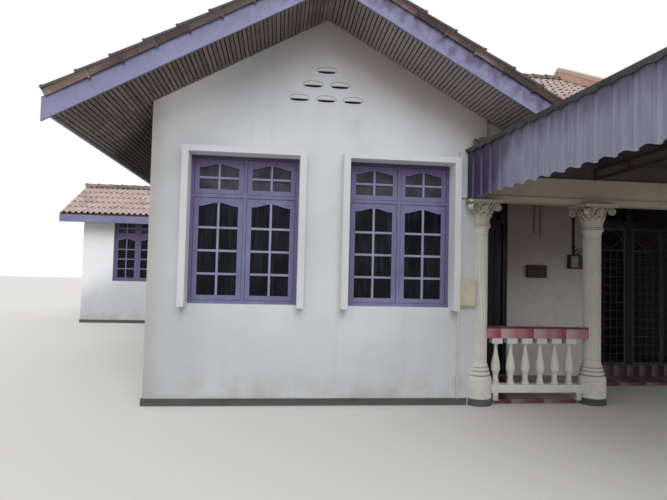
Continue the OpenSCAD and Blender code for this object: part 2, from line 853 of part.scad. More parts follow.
// Outline of one leaf, w wide, from z0 up to its round tip at z1
function leaf(w, z0, z1) = concat([[-w * 0.38, z0], [w * 0.38, z0]],
    [for (i = [0 : 6]) [w / 2 * cos(30 * i), z1 - w / 2 + w / 2 * sin(30 * i)]]);

// A row of leaves that lie on the bell and turn outwards at their tips
module leaf_row(r0, r1, z0, z1, turn) {
    w = 2 * PI * r0 / leaves;
    intersection() {
        rotate_extrude($fn = 96) polygon([[r0 - 20, z0], [r0 + 5, z0], [r0 + 8, ease(z0, z1, 0.5)],
            [r1 + leaf_out / 2, z1 - 18], [r1 + leaf_out, z1], [r0 - 20, z1]]);
        for (i = [0 : leaves - 1]) rotate([90, 0, 90 + turn + 360 * i / leaves])
            linear_extrude(2 * r1) polygon(leaf(w * 0.98, z0 - 1, z1 - 0.5));
    }
}

// Composite capital: bell, two rows of leaves, corner scrolls, a rosette on each face and the slab
module capital(z0) {
    z4 = column_top - abacus_h;
    bell = z0 + 2 * bead_h;
    lip = bell + 115;
    r = shaft_r;
    leaf_row(r + 12, r + 34, bell, lip, 0);
    leaf_row(r + 12, r + 38, bell + 20, lip + 30, 180 / leaves);
    for (a = [45 : 90 : 315]) rotate([0, 0, a]) scroll(r * 2.17, z4 - scroll_r + 1);
    for (a = [0 : 90 : 270]) rotate([0, 0, a]) translate([0, 0, z4 - rosette_r - 20]) rotate([0, 90, 0]) {
        cylinder(r = rosette_r, h = r + 60);
        cylinder(r = rosette_r * 0.4, h = r + 72);
    }
    translate([-abacus_w / 2, -abacus_w / 2, z4 + 14]) cube([abacus_w, abacus_w, abacus_h - 14]);
    translate([-abacus_w / 2 + 14, -abacus_w / 2 + 14, z4]) cube([abacus_w - 28, abacus_w - 28, 15]);
}

// A round column: stepped base, fluted shaft, capital
module column() {
    z1 = plinth_h + base_h;
    z2 = z1 + rings_h;
    z3 = column_top - capital_h;
    z4 = column_top - abacus_h;
    r = shaft_r;
    neck = 57;
    shoulder = [for (i = [0 : 4]) [base_r - 22 * (1 - cos(22.5 * i)), z1 - 20 + 45 * sin(22.5 * i)]];
    foot = concat([[0, plinth_h], [base_r, plinth_h]], shoulder, bead(r + 22, z1 + 28, 46, 15),
        bead(r + 12, z1 + 76, 42, 14), bead(r + 4, z1 + 120, 36, 9), [[r, z2]]);
    bell = z3 + 2 * bead_h;
    top = concat([[r, z3 - neck], [r + 11, z3]], bead(r + 12, z3, bead_h, 15),
        bead(r + 12, z3 + bead_h, bead_h, 15), [[r + 13, bell], [r + 18, bell + 50], [r + 36, bell + 110],
        [r + 30, z4 - 40], [r + 50, z4], [0, z4]]);
    difference() {
        rotate_extrude($fn = 96) polygon(concat(foot, top));
        for (i = [0 : flutes - 1]) rotate([0, 0, 360 * i / flutes])
            translate([r + 4, 0, z2 + 30]) cylinder(r = flute_d + 4, h = z3 - neck - z2 - 50, $fn = 24);
    }
    capital(z3);
}

module column_left() {
    color("ivory") difference() {
        translate([half_w - column_in, column_y, 0]) column();
        box(0, half_w, 0, 2 * veranda_d, -10, sky);
        box(0, half_w, -veranda_d, 0, -10, 0);
    }
}

module column_middle() {
    color("ivory") translate([half_w + column_x, column_y, 0]) column();
}

module column_right() {
    color("ivory") difference() {
        translate([party_x + column_in, column_y, 0]) column();
        box(party_x, 2 * party_x, -veranda_d, veranda_d, -10, sky);
    }
}

module balustrade_rail() {
    x0 = half_w;
    x1 = half_w + column_x;
    color("indianred") difference() {
        box(x0, x1, column_y - rail_w / 2, column_y + rail_w / 2, rail_z - rail_h, rail_z);
        translate([half_w - column_in, column_y, 0]) cylinder(r = shaft_r + fix, h = sky, $fn = 96);
        translate([half_w + column_x, column_y, 0]) cylinder(r = shaft_r + fix, h = sky, $fn = 96);
    }
}

// A turned bottle baluster: foot, waist, belly, long neck and a square block on top
module baluster() {
    z0 = curb_z + curb_h;
    h = rail_z - rail_h - z0;
    r = baluster_r;
    neck = r * 0.37;
    cap = h * 0.118;
    swell = [for (i = [0 : 6]) [ease(r * 0.58, r, i / 6), h * (0.19 + 0.14 * i / 6)]];
    taper = [for (i = [1 : 10]) [ease(r, neck, i / 10), h * (0.33 + 0.47 * i / 10)]];
    outline = concat([[0, 0], [r * 0.81, 0], [r * 0.81, h * 0.047]],
        bead(r * 0.58, h * 0.06, h * 0.045, r * 0.14), [[r * 0.58, h * 0.12]], swell, taper,
        bead(neck, h * 0.835, h * 0.035, r * 0.14), [[neck, h - cap], [0, h - cap]]);
    translate([0, 0, z0]) {
        rotate_extrude($fn = 48) polygon(outline);
        translate([-baluster_cap / 2, -rail_w / 2 + 5, h - cap - fix])
            cube([baluster_cap, rail_w - 10, cap + fix]);
    }
}

module balusters() {
    color("ivory") for (i = [0 : balusters - 1])
        translate([half_w + baluster_x + i * baluster_pitch, column_y, 0]) baluster();
}

module balustrade_curb() {
    x0 = half_w;
    x1 = half_w + column_x;
    foot = 60;
    xa = half_w - column_in + base_r + 10;
    xb = half_w + column_x - base_r - 10;
    color("ivory") difference() {
        union() {
            box(x0, x1, column_y - rail_w / 2, column_y + rail_w / 2, curb_z, curb_z + curb_h);
            box(xa, xa + foot, column_y - rail_w / 2, column_y + rail_w / 2, veranda_z, curb_z + fix);
            box(xb - foot, xb, column_y - rail_w / 2, column_y + rail_w / 2, veranda_z, curb_z + fix);
        }
        translate([half_w - column_in, column_y, 0]) cylinder(r = base_r + fix, h = sky, $fn = 96);
        translate([half_w + column_x, column_y, 0]) cylinder(r = base_r + fix, h = sky, $fn = 96);
    }
}

// Doors

// Places its children at the side door's three hinges, on the hinges' axis
module at_hinges() {
    x = half_w + jamb_w + leaf_gap / 2;
    y = veranda_d + 30 + frame_d + hinge_r + 1;
    for (z = [floor_z + 250, (floor_z + door_top) / 2, door_top - 250]) translate([x, y, z]) children();
}

module door_frame() {
    x0 = half_w;
    x1 = half_w + door_w;
    y0 = veranda_d + 30;
    y1 = veranda_d + 30 + frame_d;
    color("slateblue") {
        difference() {
            box(x0, x1, y0, y1, floor_z, head_z);
            box(x0 + jamb_w, x1 - jamb_w, y0 - 10, y1 + 10, floor_z - 10, door_top);
            box(x0 + 2 * jamb_w, x1 - 2 * jamb_w, y0 - 10, y0 + frame_d / 2,
                door_top + jamb_w, head_z - jamb_w);
        }
        at_hinges() {
            translate([0, 0, -hinge_h]) cylinder(r = hinge_r, h = hinge_h);
            translate([0, 0, -1]) cylinder(r = pin_r, h = hinge_h);
            translate([-28, -hinge_r - 1 - fix, -hinge_h]) cube([28, 2.5 + fix, hinge_h]);
        }
    }
}

module door_leaf() {
    x0 = half_w + jamb_w + leaf_gap;
    x1 = half_w + door_w - jamb_w - leaf_gap;
    y0 = veranda_d + 30 + frame_d - leaf_t;
    z0 = floor_z + leaf_gap;
    z1 = door_top - leaf_gap;
    stile = 105;
    mid = z0 + (z1 - z0) * 0.42;
    color("slateblue") {
        difference() {
            box(x0, x1, y0, y0 + leaf_t, z0, z1);
            for (y = [y0 - 10, y0 + leaf_t - 10]) {
                box(x0 + stile, x1 - stile, y, y + 20, z0 + stile * 1.6, mid - stile / 2);
                box(x0 + stile, x1 - stile, y, y + 20, mid + stile / 2, z1 - stile);
            }
        }
        at_hinges() translate([0, 0, 0.5]) difference() {
            union() {
                cylinder(r = hinge_r, h = hinge_h);
                translate([0, -hinge_r - 1 - fix, 0]) cube([28, 2.5 + fix, hinge_h]);
            }
            translate([0, 0, -1]) cylinder(r = pin_r + 0.3, h = hinge_h + 2);
        }
    }
}

module entrance_frame() {
    x0 = entry_x;
    x1 = entry_x + entry_w;
    y0 = veranda_d + 30;
    y1 = y0 + frame_d;
    color("slateblue") difference() {
        box(x0, x1, y0, y1, kerb_h, head_z);
        for (i = [0 : 1]) {
            a = x0 + frame_w + i * (panel_w + post_w);
            b = a + (1 + i) * panel_w;
            box(a, b, y0 - 10, y1 + 10, kerb_h - 10, door_top);
            box(a, b, y0 - 10, y1 + 10, door_top + 100, head_z - frame_w);
        }
    }
}

// One grille panel: a flat steel frame with upright and level bars
module grille(x, w, z0, z1, levels) {
    f = 30;
    y = veranda_d + 30 + 8;
    inner_w = w - 2 * f;
    inner_h = z1 - z0 - 2 * f;
    difference() {
        box(x, x + w, y, y + 24, z0, z1);
        box(x + f, x + w - f, y - 10, y + 34, z0 + f, z1 - f);
    }
    for (i = [1 : panel_bars]) translate([x + f + inner_w * i / (panel_bars + 1), y + 12, z0 + f - fix])
        cylinder(d = bar_d, h = inner_h + 2 * fix, $fn = 16);
    for (k = [1 : levels]) {
        z = z0 + f + inner_h * k / (levels + 1);
        box(x + f - fix, x + w - f + fix, y + 8, y + 16, z - 4, z + 4);
    }
}

module entrance_grilles() {
    x0 = entry_x + frame_w;
    g = 3;
    color("dimgray") {
        for (i = [0 : 2]) {
            x = x0 + i * panel_w + (i > 0 ? post_w : 0);
            grille(x + g, panel_w - 2 * g, kerb_h, door_top, 11);
        }
    }
}

// Carport

// One corrugated side: a folded sheet with its ribs on the outside
module ribbed(length) {
    n = floor(length / rib_pitch);
    w = rib_pitch * 0.5;
    k = 22;
    t = sheet_t;
    outer = [for (i = [0 : n - 1]) let (x = i * rib_pitch)
        each [[x, rib_h], [x + w, rib_h], [x + w + k, 0], [x + rib_pitch - k, 0]]];
    inner = [for (i = [n - 1 : -1 : 0]) let (x = i * rib_pitch)
        each [[x + rib_pitch - k, -t], [x + w + k, -t], [x + w, rib_h - t], [x, rib_h - t]]];
    linear_extrude(side_h) polygon(concat(outer, [[length, 0], [length, -t]], inner));
}

module carport_sides() {
    far = -carport_l;
    near = -beam_out - 5;
    color("slateblue") {
        translate([side_x(near), near, side_z]) rotate([0, 0, -90 + carport_skew]) mirror([0, 1, 0])
            ribbed((near - far) / cos(carport_skew));
        translate([party_x, far, side_z]) rotate([0, 0, 90]) mirror([0, 1, 0])
            ribbed(carport_l - front_out - 10);
        translate([side_x(far) + 2 * rib_h, far, side_z]) mirror([0, 1, 0])
            ribbed(party_x - side_x(far) - 3 * rib_h);
    }
}

// Bent strips that cover the tops of the sides
module carport_flashing() {
    far = -carport_l;
    b = rib_h + 12;
    w = cap_w - b;
    g = 1;
    y1 = far + w + g;
    left = [[side_x(0) - b, 0], [side_x(y1) - b, y1], [side_x(y1) + w, y1], [side_x(0) + w, 0]];
    color("dimgray") translate([0, 0, side_z + side_h]) linear_extrude(30) {
        polygon(left);
        translate([side_x(far) - b, far - b]) square([party_x + b - side_x(far) + b, cap_w]);
        translate([party_x - w, y1]) square([cap_w, carport_l - w - front_out - 10]);
    }
}

module truss(x) {
    y0 = -carport_l + 60;
    y1 = wall_t / 5 - fix;
    n = 8;
    box(x, x + tube, y0, y1, truss_z, truss_z + tube);
    box(x, x + tube, y0, y1, purlin_z - tube, purlin_z);
    for (i = [0 : n]) {
        y = y0 + (y1 - y0 - tube) * i / n;
        box(x, x + tube, y, y + tube, truss_z + tube - fix, purlin_z - tube + fix);
    }
}

module carport_trusses() {
    color("dimgray") {
        truss(half_w + 400);
        truss(half_w + column_x);
        truss(party_x - 2 * post);
    }
}

module carport_purlins() {
    n = 6;
    color("dimgray") for (i = [0 : n - 1]) {
        y = -carport_l + 80 + (carport_l - 240) * i / (n - 1);
        box(side_x(y) + 10, party_x - 10, y, y + tube, purlin_z, roof_z);
    }
}

module carport_roof() {
    far = -carport_l;
    color("silver") translate([0, 0, roof_z]) linear_extrude(sheet_t) polygon([[side_x(0) + 10, -5],
        [side_x(far) + 10, far + 10], [party_x - 10, far + 10], [party_x - 10, -5]]);
}

module carport_posts() {
    y = -carport_l + 80;
    color("dimgray") for (x = [half_w + 400, party_x - 2 * post])
        box(x - post / 4, x + post * 3 / 4, y, y + post, 0, truss_z);
}

// Fittings

// Pale strip on the wall where the carport's side ends, with a small cap
module carport_wall_strip() {
    x1 = carport_x - 15;
    z1 = side_z + side_h;
    cap = 15;
    lip = 6;
    color("linen") union() {
        box(x1 - strip_w, x1, -beam_out - 5, 0, side_z + 25, z1 - cap);
        box(x1 - strip_w - lip, x1 - strip_w * 0.25, -beam_out - 5 - lip, 0, z1 - cap - fix, z1);
    }
}

// A round conduit on a wall that faces the front, from z0 to z1, with two clips
module conduit(x, wall_y, z0, z1) {
    r = conduit_d / 2;
    clip = 5;
    translate([x, wall_y - r, z0]) cylinder(r = r, h = z1 - z0);
    for (z = [z0 + (z1 - z0) * 0.2, z0 + (z1 - z0) * 0.8])
        box(x - r - clip, x + r + clip, wall_y - r, wall_y, z, z + 4 * clip);
}

module wall_conduits() {
    color("linen") {
        conduit(cover_x + conduit_d, 0, plinth_h, cover_z);
        conduit(meter_x + meter_w * 0.4, veranda_d, meter_z + meter_h, ceiling_z);
        conduit(panel_box_x + panel_box_w * 0.75, veranda_d, 2070, ceiling_z);
        conduit(panel_box_x + panel_box_w * 0.43, veranda_d, 2120, ceiling_z);
    }
}

module meter_cover() {
    color("tan") box(cover_x, cover_x + cover_w, -cover_d, 0, cover_z, cover_z + cover_h);
}

module meter_box() {
    color("dimgray")
        box(meter_x, meter_x + meter_w, veranda_d - meter_d, veranda_d, meter_z, meter_z + meter_h);
}

module switch_panel() {
    color("dimgray") box(panel_box_x, panel_box_x + panel_box_w, veranda_d - meter_d, veranda_d,
        panel_box_z, panel_box_z + panel_box_h);
}

floor_slab();
plinth();
veranda_floor();
entrance_kerb();
front_wall();
wing_left_wall();
wing_right_wall();
annex_front_wall();
annex_left_wall();
rear_wall();
party_wall();
veranda_back_wall();
veranda_wall_over();
veranda_beam();
veranda_upper_wall();
veranda_ceiling();
wing_roof_left();
wing_roof_right();
main_roof_front();
rear_roof();
annex_roof_front();
ridge_caps();
eave_tiles();
soffits();
verge_bearers();
bargeboards();
verge_tiles();
eave_boards();
window_surrounds();
front_frames();
front_sashes();
front_glass();
back_windows();
back_glass();
vent_hoods();
column_left();
column_middle();
column_right();
balustrade_rail();
balusters();
balustrade_curb();
door_frame();
door_leaf();
entrance_frame();
entrance_grilles();
carport_roof();
carport_sides();
carport_flashing();
carport_trusses();
carport_purlins();
carport_posts();
carport_wall_strip();
party_coping();
wall_conduits();
meter_cover();
meter_box();
switch_panel();
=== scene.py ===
# %% [markdown]
# # A gabled bungalow, dressed in Blender
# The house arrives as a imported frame: walls, columns, doors and roof layers at
# their real size, in metres, with the front wall's face at Y = 0. This lesson
# gives every surface its finish and adds what a plain solid can't show, such as
# single roof tiles and soffit slats. The frame itself is never moved.

# %% Load the frame
import math
from collections import Counter

import bmesh
import bpy
from mathutils import Matrix, Vector


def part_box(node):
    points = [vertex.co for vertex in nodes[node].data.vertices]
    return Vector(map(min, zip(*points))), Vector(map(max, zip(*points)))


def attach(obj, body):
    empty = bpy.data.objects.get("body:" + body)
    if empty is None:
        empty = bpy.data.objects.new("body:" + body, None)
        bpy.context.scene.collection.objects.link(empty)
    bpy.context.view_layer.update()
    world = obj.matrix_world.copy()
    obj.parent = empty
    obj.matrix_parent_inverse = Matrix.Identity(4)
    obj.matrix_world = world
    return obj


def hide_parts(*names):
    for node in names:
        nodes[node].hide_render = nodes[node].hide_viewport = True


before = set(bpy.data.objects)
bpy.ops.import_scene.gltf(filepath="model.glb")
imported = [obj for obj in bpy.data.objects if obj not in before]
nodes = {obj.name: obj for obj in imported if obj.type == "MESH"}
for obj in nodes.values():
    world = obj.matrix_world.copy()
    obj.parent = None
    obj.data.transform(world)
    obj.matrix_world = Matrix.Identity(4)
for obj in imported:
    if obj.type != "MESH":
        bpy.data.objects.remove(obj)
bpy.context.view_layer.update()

scene = bpy.context.scene
HOUSE = "house"

# %% [markdown]
# ## The camera
# A photograph of a house is matched by where its maker stood, how the phone was
# held and how wide its lens saw. Yaw, pitch and roll are kept as three plain
# angles, because each one can be checked by itself: walls lean with roll, the
# horizon shifts with pitch, and the side walls open with yaw.

# %% Camera
EYE = Vector((-0.491, -5.755, 1.485))
YAW, PITCH, ROLL = (math.radians(a) for a in (6.09, 2.40, 1.37))
PHOTO_WIDTH = 667
FOCAL_PIXELS = 515
SENSOR = 36.0


def make_camera():
    ahead = Vector((math.sin(YAW) * math.cos(PITCH), math.cos(YAW) * math.cos(PITCH), math.sin(PITCH)))
    level = Vector((math.cos(YAW), -math.sin(YAW), 0))
    above = level.cross(ahead)
    right = math.cos(ROLL) * level + math.sin(ROLL) * above
    up = -math.sin(ROLL) * level + math.cos(ROLL) * above
    turn = Matrix((right, up, -ahead)).transposed().to_4x4()
    data = bpy.data.cameras.new("camera")
    data.sensor_width = SENSOR
    data.lens = FOCAL_PIXELS / PHOTO_WIDTH * SENSOR
    data.clip_end = 200
    camera = bpy.data.objects.new("camera", data)
    camera.matrix_world = Matrix.Translation(EYE) @ turn
    scene.collection.objects.link(camera)
    scene.camera = camera
    return camera


camera = make_camera()
print("camera: lens", round(camera.data.lens, 1), "mm")

# %% [markdown]
# ## Node trees written as sums
# A shader or a Geometry Nodes tree is a sum of small steps. Wiring them by hand
# hides the idea, so one small class wraps a socket and lets Python's own signs
# add the Math nodes: `1 - mask` is then a line that can be read. Every other
# node comes from one method, `add`.

# %% Values and nets


class Value:
    """A number, colour or vector that a node gives."""

    def __init__(self, net, socket):
        self.net = net
        self.socket = socket

    def maths(self, operation, *terms):
        return self.net.add("ShaderNodeMath", {"operation": operation}, terms)

    def __add__(self, other): return self.maths("ADD", self, other)
    def __radd__(self, other): return self.maths("ADD", other, self)
    def __sub__(self, other): return self.maths("SUBTRACT", self, other)
    def __rsub__(self, other): return self.maths("SUBTRACT", other, self)
    def __mul__(self, other): return self.maths("MULTIPLY", self, other)
    def __rmul__(self, other): return self.maths("MULTIPLY", other, self)
    def __truediv__(self, other): return self.maths("DIVIDE", self, other)
    def __mod__(self, other): return self.maths("FLOORED_MODULO", self, other)
    def __lt__(self, other): return self.maths("LESS_THAN", self, other)
    def __gt__(self, other): return self.maths("GREATER_THAN", self, other)
    def __abs__(self): return self.maths("ABSOLUTE", self)
    def floor(self): return self.maths("FLOOR", self)


class Net:
    """A node tree that is filled from Python."""

    def __init__(self, tree):
        self.tree = tree

    def add(self, kind, settings=None, values=None, out=0):
        node = self.tree.nodes.new(kind)
        for key, setting in (settings or {}).items():
            setattr(node, key, setting)
        pairs = values.items() if isinstance(values, dict) else enumerate(values or ())
        for key, value in pairs:
            self.put(node.inputs[key], value)
        return Value(self, node.outputs[out])

    def put(self, socket, value):
        if isinstance(value, Value):
            self.tree.links.new(value.socket, socket)
        else:
            socket.default_value = value


print("helpers: Value, Net")

# %% [markdown]
# ## Looks
# A finish is more than a colour: paint has blotches, dirt gathers at the foot of
# a wall, rain draws streaks. Each look below starts from the object's own metres
# (Object coordinates), so that a pattern has its real scale and stays put. A
# look begins with `start`, a ground between two tones, and then lays one tint
# after another over it, as paint and dirt came in life. Colours are written as
# they are seen on a screen and turned linear once. `wander` lets the limit of a
# tint stray by a noise, because no edge of dirt or wear is straight.

# %% The look helper


def srgb(colour):
    """A screen colour, 0 to 255, as linear values."""
    shares = (c / 255 for c in colour)
    return tuple(c / 12.92 if c <= 0.04045 else ((c + 0.055) / 1.055) ** 2.4 for c in shares) + (1.0,)


def wander(value, noise, reach):
    return value + (noise - 0.5) * reach


class Look(Net):
    """One material on a Principled shader, reading Object coordinates."""

    def __init__(self, name, **sockets):
        self.material = bpy.data.materials.new(name)
        self.material.use_nodes = True
        super().__init__(self.material.node_tree)
        self.shader = self.tree.nodes["Principled BSDF"]
        for key, value in {"Specular_IOR_Level": 0.3, **sockets}.items():
            self.shader.inputs[key.replace("_", " ")].default_value = value
        self.place = self.add("ShaderNodeTexCoord", out="Object")

    def axes(self):
        split = self.add("ShaderNodeSeparateXYZ", None, [self.place])
        return [Value(self, socket) for socket in split.socket.node.outputs]

    def noise(self, scale, detail=4.0, stretch=(1, 1, 1)):
        at = self.add("ShaderNodeMapping", None, {"Vector": self.place, "Scale": stretch})
        return self.add("ShaderNodeTexNoise", None, {"Vector": at, "Scale": scale, "Detail": detail})

    def tone(self):
        """The number of its own that each repeated piece carries."""
        return self.add("ShaderNodeAttribute", {"attribute_name": "tone"}, out="Fac")

    def fade(self, value, low, high):
        """0 below low, 1 above high, smooth between; the other way round if low is the greater."""
        return self.add("ShaderNodeMapRange", {"interpolation_type": "SMOOTHSTEP"},
                        {"Value": value, "From Min": low, "From Max": high})

    def hollow(self, reach):
        """Near 1 deep in a hollow of the piece's own shape, 0 on open faces."""
        return 1 - self.add("ShaderNodeAmbientOcclusion", {"samples": 8, "only_local": True},
                            {"Distance": reach}, out="AO")

    def mix(self, share, first, second):
        return self.add("ShaderNodeMix", {"data_type": "RGBA"}, {0: share, 6: first, 7: second}, out=2)

    def start(self, share, first, second):
        self.colour = self.mix(share, srgb(first), srgb(second))

    def lay(self, share, tint):
        self.colour = self.mix(share, self.colour, srgb(tint))

    def bump(self, height, strength=0.25, distance=0.002):
        normal = self.add("ShaderNodeBump", None,
                          {"Height": height, "Strength": strength, "Distance": distance})
        self.put(self.shader.inputs["Normal"], normal)

    def finish(self, roughness=None):
        self.put(self.shader.inputs["Base Color"], self.colour)
        if roughness is not None:
            self.put(self.shader.inputs["Roughness"], roughness)
        return self.material


def dress(material, *names):
    """Gives CAD nodes a material, slot by slot."""
    for name in names:
        for slot in nodes[name].material_slots:
            slot.material = material


print("look helper ready")

# %% [markdown]
# ## Painted plaster
# The walls are cement plaster under white emulsion that has been rolled on over
# many years. Three noises carry it: broad blotches where the paint is thinner,
# smaller stains, and streaks stretched along Z where rain ran down. Dirt is
# splashed up at the foot. The bump is the roller's fine grain over the trowel's
# slow waves. What only one wall has comes in as a function, `marks`.

# %% Plaster


def trowelled(look, worn, grain=None):
    """Ends a plaster with the trowel's waves and a roughness that follows its wear."""
    waves = look.noise(14.0, 3.0)
    look.bump(waves if grain is None else grain * 0.35 + waves * 0.65, distance=0.004)
    return look.finish(0.8 + worn * 0.15)


def plaster(name, thin, full, stain, splash, stained=0.35, splash_top=0.5, marks=None):
    look = Look(name)
    z = look.axes()[2]
    broad = look.noise(0.8, 3.0)
    patch = look.noise(4.0, 6.0)
    streak = look.noise(1.0, 5.0, stretch=(9, 9, 0.4))
    look.start(look.fade(broad, 0.35, 0.68), thin, full)
    look.lay(look.fade(patch, 0.52, 0.8) * stained, stain)
    look.lay(look.fade(streak, 0.56, 0.75) * (stained * 0.6), stain)
    look.lay(look.fade(z, splash_top, 0.02) * look.fade(patch, 0.32, 0.66) * 0.6, splash)
    if marks:
        marks(look, broad, patch)
    return trowelled(look, broad, look.noise(120.0, 2.0))


beam_cream = plaster("beam_cream", (180, 166, 150), (196, 182, 166), (150, 136, 120), (130, 118, 104), 0.5)
coping_pale = plaster("coping_pale", (196, 178, 166), (208, 192, 178), (160, 146, 136), (170, 160, 150), 0.6)
cement_green = plaster("cement_green", (66, 72, 70), (78, 85, 83), (54, 56, 52), (92, 88, 80), 0.6, 0.05)
column_white = plaster("column_white", (196, 196, 192), (208, 208, 204), (172, 168, 156), (150, 146, 134),
                       0.3, 0.2)
slab_pale = plaster("slab_pale", (150, 147, 142), (164, 161, 156), (124, 120, 114), (120, 116, 110))
dress(beam_cream, "veranda_beam")
dress(coping_pale, "party_coping")
dress(cement_green, "plinth")
dress(column_white, "balusters", "balustrade_curb")
dress(slab_pale, "floor_slab")
print("plaster on the beam, coping, plinth, balusters and floor")

# %% [markdown]
# ## Marks and painted light on the front wall
# The front wall isn't even in tone. Its left end is darkened with painted shade,
# it is darker near its corner and lower down, and a brown damp stain, deepened
# with painted shade, follows the soffit at the right. At the left, under the
# soffit, the wall is painted paler as painted light. Each mark is a distance from
# an edge of the house, broken up by a noise. The faces that look into the window
# openings are painted pale as painted light, and those inside the vent slots are
# painted dark as painted shade.

# %% White walls
WING_PITCH = math.radians(29.0)
WING_COS, WING_SIN = math.cos(WING_PITCH), math.sin(WING_PITCH)
WING_TAN = WING_SIN / WING_COS
SOFFIT_PEAK = 4.35
WALL_LEFT = -1.9
SKIN = 0.003
REVEAL_DEPTH = 0.14
SURROUND_LOW, SURROUND_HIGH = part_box("window_surrounds")


def below_soffit(look):
    """Metres down from the wing's soffit, in the plane of the gable."""
    x, y, z = look.axes()
    return SOFFIT_PEAK - abs(x) * WING_TAN - z


def reveals(look, near, deep):
    """Painted light between two depths of the front wall, and painted shade in the slots above the windows.
    """
    x, y, z = look.axes()
    inside = (y > near) * (y < deep) * (x > WALL_LEFT + 0.05) * (x < SURROUND_HIGH.x)
    # Painted light: the faces inside the openings are painted paler than the wall.
    look.lay(inside * (z < SURROUND_HIGH.z) * 0.85, (228, 229, 232))
    # Painted shade: the faces inside the vent slots are painted dark.
    look.lay(inside * (z > SURROUND_HIGH.z) * 0.9, (46, 42, 40))


def gable_marks(look, broad, patch):
    x, y, z = look.axes()
    front = y < SKIN
    below = below_soffit(look)
    # Painted shade: the left end of the front is darkened.
    look.lay(look.fade(wander(x, broad, 0.5), -1.0, WALL_LEFT) * front * 0.6, (158, 160, 162))
    # Darker towards the bottom.
    look.lay(look.fade(wander(z, broad, 0.6), 1.3, 0.4) * 0.33, (164, 164, 166))
    # Painted light: paler under the soffit at the left, against its shade.
    painted_light_under_soffit = look.fade(wander(below, broad, 0.3), 0.85, 0.0) * look.fade(x, -0.8, -1.5)
    look.lay(painted_light_under_soffit * 0.95, (228, 229, 231))
    # Darker near the left corner.
    corner = look.fade(wander(abs(x - WALL_LEFT), patch, 0.1), 0.2, 0.0)
    look.lay(corner * front * 0.4, (148, 143, 134))
    # A brown damp stain under the soffit at the right, deepened with painted shade.
    damp_and_painted_shade = look.fade(wander(below, broad, 0.5), 0.75, 0.0)
    look.lay(damp_and_painted_shade * look.fade(x, -1.2, 0.6) * 0.8, (170, 155, 147))
    reveals(look, SKIN, REVEAL_DEPTH)


def surround_marks(look, broad, patch):
    reveals(look, SURROUND_LOW.y + SKIN, SURROUND_HIGH.y + 0.01)


wall_white = plaster("wall_white", (187, 190, 194), (199, 201, 205), (174, 172, 169), (148, 143, 134),
                     marks=gable_marks)
surround_white = plaster("surround_white", (187, 189, 192), (196, 198, 201), (178, 176, 170),
                         (170, 165, 155), 0.2, marks=surround_marks)
dress(wall_white, "front_wall", "wing_left_wall", "wing_right_wall", "annex_front_wall",
      "annex_left_wall", "rear_wall", "carport_wall_strip")
dress(surround_white, "window_surrounds")
print("white walls and window surrounds painted")

# %% [markdown]
# ## Walls under the veranda and at the party line
# The veranda's wall is warm, darkened with painted shade towards the ceiling and
# painted paler near the floor as painted light. The strip over its beam carries
# painted shade below the carport's roof and is white above it: one hard line
# divides them. The party wall is orange outside and above the tiles, but plain
# and darkened with painted shade inside the hall, so its paint asks for the
# roof's height.

# %% Veranda and party walls
MAIN_PITCH = math.radians(28.0)
MAIN_COS, MAIN_SIN = math.cos(MAIN_PITCH), math.sin(MAIN_PITCH)
MAIN_TAN = MAIN_SIN / MAIN_COS
MAIN_Z0, RIDGE_Y = 3.215, 5.4
RIDGE_Z = MAIN_Z0 + MAIN_TAN * RIDGE_Y
PARTY_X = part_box("party_wall")[0].x
CARPORT_SHADE_LINE = 2.95


def veranda_plaster():
    look = Look("veranda_plaster")
    z = look.axes()[2]
    broad = look.noise(1.2, 4.0)
    # Painted shade towards the ceiling, painted light near the floor.
    look.start(look.fade(wander(z, broad, 0.5), 0.7, 2.1), (234, 230, 226), (150, 139, 133))
    look.lay(look.fade(look.noise(6.0, 6.0), 0.52, 0.78) * 0.25, (140, 130, 126))
    return trowelled(look, broad)


def upper_wall():
    look = Look("upper_wall")
    z = look.axes()[2]
    patch = look.noise(5.0, 6.0)
    mottled = look.fade(patch, 0.35, 0.68)
    # Painted shade: dark below the line of the carport's roof, white paint above it.
    look.start(mottled, (84, 78, 78), (98, 90, 88))
    clean = look.mix(mottled, srgb((162, 157, 154)), srgb((176, 171, 168)))
    look.colour = look.mix(look.fade(z, CARPORT_SHADE_LINE - 0.02, CARPORT_SHADE_LINE + 0.02), look.colour, clean)
    return trowelled(look, patch)


def party_plaster():
    look = Look("party_plaster")
    x, y, z = look.axes()
    broad = look.noise(0.9, 4.0)
    look.start(look.fade(broad, 0.35, 0.68), (202, 162, 144), (216, 180, 162))
    look.lay(look.fade(look.noise(5.0, 6.0), 0.5, 0.78) * 0.4, (176, 146, 130))
    under_roof = z < RIDGE_Z - abs(y - RIDGE_Y) * MAIN_TAN
    # Plain paint inside the hall, darkened with painted shade.
    look.lay((x < PARTY_X + 0.001) * under_roof, (118, 112, 106))
    return trowelled(look, broad)


dress(veranda_plaster(), "veranda_back_wall", "veranda_wall_over", "veranda_ceiling")
dress(upper_wall(), "veranda_upper_wall")
dress(party_plaster(), "party_wall")
print("veranda and party walls painted")

# %% [markdown]
# ## Cast columns
# The columns are cast in white cement and painted, and nobody reaches up to clean
# the capitals: there the grime has turned brown-green. One fade along Z tints
# them, and a measure of how hollow the shape is, from ambient occlusion, fills
# flutes, leaves and scrolls with grime and painted shade, most of all up there.

# %% Columns
CAPITAL_Z = 2.03


